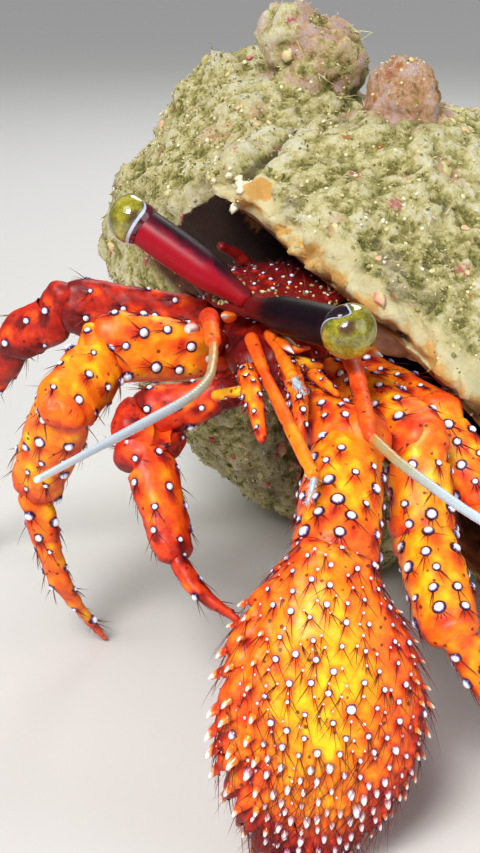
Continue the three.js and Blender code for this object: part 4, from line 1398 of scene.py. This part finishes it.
# Places in mm from the foot of the axis: the groove between the lip and the spire, the two
# knobs with their radii and how bare they are, and the pale and the orange end of the lip.
SUTURE = np.array([(-27, -29, 52), (-22.6, -26.6, 54), (-17.6, -19, 56.6), (-12, -6, 58.5), (-5, 6, 61)])
KNOBS = (((4, -6, 64.5), 12.0, 0.85), ((-9, 22, 68), 14.0, 0.5))
LIP_CORNER = (-24.9, -29.5, 52.3)
LIP_PATCH = (-20.0, -31.5, 51.6)
# Names, sizes and depths in mm of the lumps that roughen the outside.
RELIEF = (("shell_lumps", 13, 4.8), ("shell_knots", 4.4, 3.4), ("shell_grit", 1.7, 1.9))
GRAINS = 7000
CORNER_GRAINS = 22
LUMPS = 300
THREADS = 70
# Turf: name, number of roots, least and greatest length in mm, material.
TURF = (("shell_turf_pale", 4700, (0.5, 1.3), TURF_PALE),
        ("shell_turf_olive", 3400, (0.5, 1.4), TURF_OLIVE))


def section_place(turn, radius, rise):
    """How far out on the section a point lies, 1 at the wall, and how far along the lip."""
    size = GROWTH ** turn
    across = (radius / size - SECTION_RADIUS) / HALF_WIDTH
    along = (APEX_RISE - (APEX_RISE - rise) / size) / HALF_LENGTH
    canal = along
    for _ in range(3):
        canal = along / (1 + 0.22 * np.where(canal < 0, canal, 0) ** 4)
    return np.hypot(across, canal), np.clip(canal, -1, 1)


def from_foot(points):
    """Places as seen from the foot of the shell's axis."""
    low, high = (np.array(corner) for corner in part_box("shell"))
    return points - (low + np.array(SHELL_FOOT) * (high - low))


def along_axis(step):
    """Rise along the shell's axis, the part of each step across it, and that part's length."""
    rise = step @ SHELL_AXIS
    flat = step - rise[:, None] * SHELL_AXIS
    return rise, flat, np.linalg.norm(flat, axis=1)


def shell_places(points, normals):
    """Inner wall, callus beside the mouth, and the distance behind the lip of each point."""
    step = from_foot(points)
    rise, flat, radius = along_axis(step)
    ahead = np.mod(np.arctan2(flat @ MOUTH_WAY, flat @ LIP_WAY) / (2 * np.pi), 1)
    out, along = section_place(ahead - 1, radius, rise)
    past = ahead - 1 - LIP_SLANT * along
    out_front, along_front = section_place(ahead, radius, rise)
    past_front = ahead - LIP_SLANT * along_front
    leads = (past_front < 0.004) & (out_front > 0.8)
    past = np.where(leads, past_front, past)
    out = np.where(leads, out_front, out)
    last_whorl = (out > LAST_WHORL[0]) & (out < LAST_WHORL[1])
    behind = np.where(last_whorl, -past * 2 * np.pi * radius, 1.0)
    raised_rise, _, raised_radius = along_axis(step + normals * MM)
    inwards = section_place(np.where(leads, ahead, ahead - 1), raised_radius, raised_rise)[0] < out
    # The far end of the canal faces outwards.
    inwards &= (along > CANAL_END[0]) | (past > CANAL_END[1])
    near_mouth = (ahead < MOUTH_TURN) & ~leads
    inner = (out < 1.0) & inwards & (past > -HOLLOW_TURN) & ~near_mouth
    callus = (near_mouth & (out_front < 1.0)) * (1 - ease((past_front - 0.05) / 0.08))
    return inner.astype(float), callus, behind


def shelter(points, normals, tree, reach, rng, rays=14):
    """Share of the sky over each point that the shell itself hides."""
    hidden = np.zeros(len(points))
    ways = unit(rng.normal(size=(rays, 3)))
    for i, (here, normal) in enumerate(zip(points, normals)):
        start = Vector(here + normal * 0.6 * MM)
        for way in ways:
            direction = unit(normal * 1.1 + way)
            if tree.ray_cast(start, Vector(direction), reach)[0] is not None:
                hidden[i] += 1
    return hidden / rays


def spread_out(mesh, values, rounds):
    """Evens out values between neighbouring points."""
    ends = edge_ends(mesh)
    links = np.bincount(ends.ravel(), minlength=len(values))
    for _ in range(rounds):
        total = np.bincount(ends[:, 0], values[ends[:, 1]], len(values))
        total += np.bincount(ends[:, 1], values[ends[:, 0]], len(values))
        values = (values + total / np.maximum(links, 1)) / 2
    return values


def keep_largest(piece):
    """Drops every loose bit but the largest."""
    work = bmesh.new()
    work.from_mesh(piece.data)
    left = set(work.verts)
    islands = []
    while left:
        island, todo = set(), [left.pop()]
        while todo:
            vert = todo.pop()
            island.add(vert)
            beside = {edge.other_vert(vert) for edge in vert.link_edges} & left
            left -= beside
            todo += beside
        islands.append(island)
    largest = max(islands, key=len)
    bmesh.ops.delete(work, geom=[v for v in work.verts if v not in largest], context="VERTS")
    work.to_mesh(piece.data)
    work.free()


def roughen(piece, outside):
    """Pushes the outside in and out by lumps of falling size, as far as `outside` lets it."""
    group = piece.vertex_groups.new(name="outside")
    for i, value in enumerate(outside):
        group.add([i], float(value), "REPLACE")
    for name, size, depth in RELIEF:
        texture = bpy.data.textures.new(name, "CLOUDS")
        texture.noise_scale = size * MM
        texture.noise_depth = 3
        apply_modifier(piece, "DISPLACE", texture=texture, strength=depth * MM, mid_level=0.5,
                       texture_coords="LOCAL", vertex_group=group.name)


def make_shell():
    shell = copy_of("shell_skin", "shell")
    mesh = shell.data
    tree = face_tree(mesh)
    apply_modifier(shell, "REMESH", mode="VOXEL", voxel_size=SHELL_VOXEL)
    keep_largest(shell)
    apply_modifier(shell, "SMOOTH", factor=0.5, iterations=SMOOTHING)
    mesh = shell.data
    points, normals = points_of(mesh), normals_of(mesh)
    hidden = spread_out(mesh, shelter(points, normals, tree, SKY_REACH, np.random.default_rng(5)), 5)
    inner, callus, behind = shell_places(points, normals)
    step = from_foot(points) / MM
    along = np.linspace(0, len(SUTURE) - 1, 60)
    middle = np.stack([np.interp(along, np.arange(len(SUTURE)), SUTURE[:, k]) for k in range(3)], 1)
    off = np.linalg.norm(step[:, None] - middle[None], axis=2).min(1)
    groove = np.exp(-(off / 2.1) ** 2)
    banks = np.exp(-((off - 4.2) / 1.8) ** 2)
    knob = np.zeros(len(points))
    for centre, radius, bare in KNOBS:
        knob = np.maximum(knob, bare * ease((radius - np.linalg.norm(step - centre, axis=1)) / 3))
    inside = spread_out(mesh, np.maximum(inner, callus), 2)
    band = (8.0 + 5.0 * waves(points, 14, 3)) * MM
    height = points @ SHELL_AXIS
    apex_end = ease((height - np.quantile(height, 0.66)) / (10 * MM))
    lip = spread_out(mesh, (1 - inner) * ease(1 - behind / band) * (1 - apex_end), 2)
    patch = 1.15 * ease((4.2 - np.linalg.norm(step - LIP_PATCH, axis=1)) / 3)
    lip = np.maximum(lip, patch * (1 - inside))
    turn = np.arctan2(points @ MOUTH_WAY, points @ LIP_WAY)
    # depth carries the painted shade of the glaze: darker deeper in the mouth and on the callus.
    write_values(mesh, inside=inside, lip=lip, knob=knob,
                 sheltered=np.maximum(hidden, 0.9 * groove * (1 - inside)),
                 depth=np.maximum(inner * ease((behind / MM - 1) / 16), 0.55 * callus))
    scallop = ease(lip * 1.4) * 3.2 * MM * waves(points, 10, 11)
    relief = (1.3 * banks - 1.9 * groove) * (1 - inside) * MM
    move_points(mesh, points + (LIP_WAY + 0.6 * MOUTH_WAY) * scallop[:, None]
                + normals * relief[:, None])
    roughen(shell, (1 - inside) * (1 - 0.6 * np.minimum(lip, 1)) * (1 - 0.1 * knob))
    points, normals = points_of(mesh), normals_of(mesh)
    evened = np.stack([spread_out(mesh, points[:, k], 7) for k in range(3)], 1)
    # height is the relief's crests and hollows, which the crust paints paler and darker as painted light
    # and shade.
    write_values(mesh, height=0.5 + ((points - evened) * normals).sum(1) / (0.9 * MM))
    mesh.shade_smooth()
    settle(shell, CRUST, "shell", "shell")
    return SimpleNamespace(piece=shell, mesh=mesh, points=points, normals=normals_of(mesh),
                           share=(height - height.min()) / np.ptp(height), turn=turn, warm=hidden,
                           inside=inside, lip=np.minimum(lip, 1), knob=np.maximum(knob, groove),
                           corner=np.linalg.norm(step - LIP_CORNER, axis=1),
                           along=np.tile(-SHELL_AXIS, (len(points), 1)))


def make_growth_on(shell):
    """Sand grains, lumps, short turf and a few threads over the outside of the shell."""
    rng = np.random.default_rng(17)
    open_side = (1 - shell.inside) * (shell.warm < 0.55) + 1e-6
    bare = ease((waves(shell.points, 26, 21) - 0.1) / 0.3) * 0.6
    weight = open_side * (1 - bare) * (1 - 0.85 * shell.lip) * (1 - 0.7 * shell.knob)

    def pick(number, weights):
        return rng.choice(len(shell.points), number, replace=False, p=weights / weights.sum())

    index = pick(GRAINS, weight)
    size = (0.16 + 0.34 * rng.random(len(index)) ** 3) * MM
    settle(make_pebbles("shell_grains", shell, index, size, rng), GRAIN, "shell")
    index = pick(CORNER_GRAINS, (1 - shell.inside) * ease((4.5 - shell.corner) / 2) + 1e-9)
    size = rng.uniform(0.5, 1.2, len(index)) * MM
    corner = make_pebbles("shell_lip_corner", shell, index, size, rng, 0.6)
    write_values(corner.data, shade=0.95)
    settle(corner, GRAIN, "shell")
    index = pick(LUMPS, open_side * ease((waves(shell.points, 18, 22) + 0.1) / 0.4))
    size = (0.6 + 0.9 * rng.random(len(index)) ** 2) * MM
    settle(make_pebbles("shell_lumps", shell, index, size, rng, 0.5), LUMP, "shell")
    for name, number, length, material in TURF:
        turf = spots_on(shell, pick(number, weight * (1 - shell.lip) ** 2), 0.2 * MM)
        turf.tip = unit(turf.tip + 0.9 * rng.normal(size=turf.tip.shape))
        settle(make_bristles(name, turf, rng, per_spot=(2, 3), length=length, thick=0.13, stand=1.2,
                             curve=0.9), material, "shell")
    index = pick(THREADS, open_side * ease((shell.share - 0.5) / 0.2))
    threads = spots_on(shell, index, 0.1 * MM)
    settle(make_bristles("shell_threads", threads, rng, per_spot=(1, 3), length=(2.5, 6), thick=0.12,
                         stand=2.2, curve=0.6), TURF_PALE, "shell")


make_growth_on(make_shell())


# ---- floor, lights and camera ----

# Each light's place from the model's middle, width in metres, power in watts and colour.
LIGHTS = {
    "key": ((-0.16, -0.42, 0.42), 0.2, 3.2, (1, 0.98, 0.95)),
    "fill": ((0.5, -0.3, 0.25), 0.5, 1.0, (0.93, 0.97, 1)),
    "back": ((0.1, 0.5, 0.5), 0.4, 2.0, (1, 1, 1)),
}
CAMERA_BEYOND = Vector((-7.3, -118.6, 14.2)) * MM   # from the box's front top middle
CAMERA_TILT = math.radians(69.0)                    # from straight down


def make_floor():
    deselect()
    bpy.ops.mesh.primitive_plane_add(size=12, location=(0, 0, cad_bounds[0].z))
    floor = bpy.context.object
    floor.name = "floor"
    floor.data.materials.append(FLOOR)


def make_lights():
    middle = (cad_bounds[0] + cad_bounds[1]) / 2
    for name, (beyond, size, power, colour) in LIGHTS.items():
        light = bpy.data.lights.new(name, "AREA")
        light.shape = "DISK"
        light.size = size
        light.energy = power
        light.color = colour
        lamp = add_object(name, light)
        lamp.location = middle + Vector(beyond)
        lamp.rotation_euler = (middle - lamp.location).to_track_quat("-Z", "Y").to_euler()
    sun = bpy.data.lights.new("soft_sun", "SUN")
    sun.energy = 1.1
    sun.angle = math.radians(35)
    lamp = add_object("soft_sun", sun)
    lamp.rotation_euler = (math.radians(32), math.radians(-24), 0)
    world = bpy.data.worlds.new("studio")
    world.use_nodes = True
    sky = world.node_tree.nodes["Background"].inputs
    sky["Color"].default_value = (0.82, 0.86, 0.9, 1)
    sky["Strength"].default_value = 0.2
    bpy.context.scene.world = world


def make_camera():
    low, high = cad_bounds
    lens = bpy.data.cameras.new("camera")
    lens.lens = 56.0
    lens.sensor_width = 36.0
    lens.clip_start = 0.005
    camera = add_object("camera", lens)
    camera.location = Vector(((low.x + high.x) / 2, low.y, high.z)) + CAMERA_BEYOND
    camera.rotation_euler = (CAMERA_TILT, 0, 0)
    bpy.context.scene.camera = camera


make_floor()
make_lights()
make_camera()
bpy.context.scene.view_settings.view_transform = "Standard"
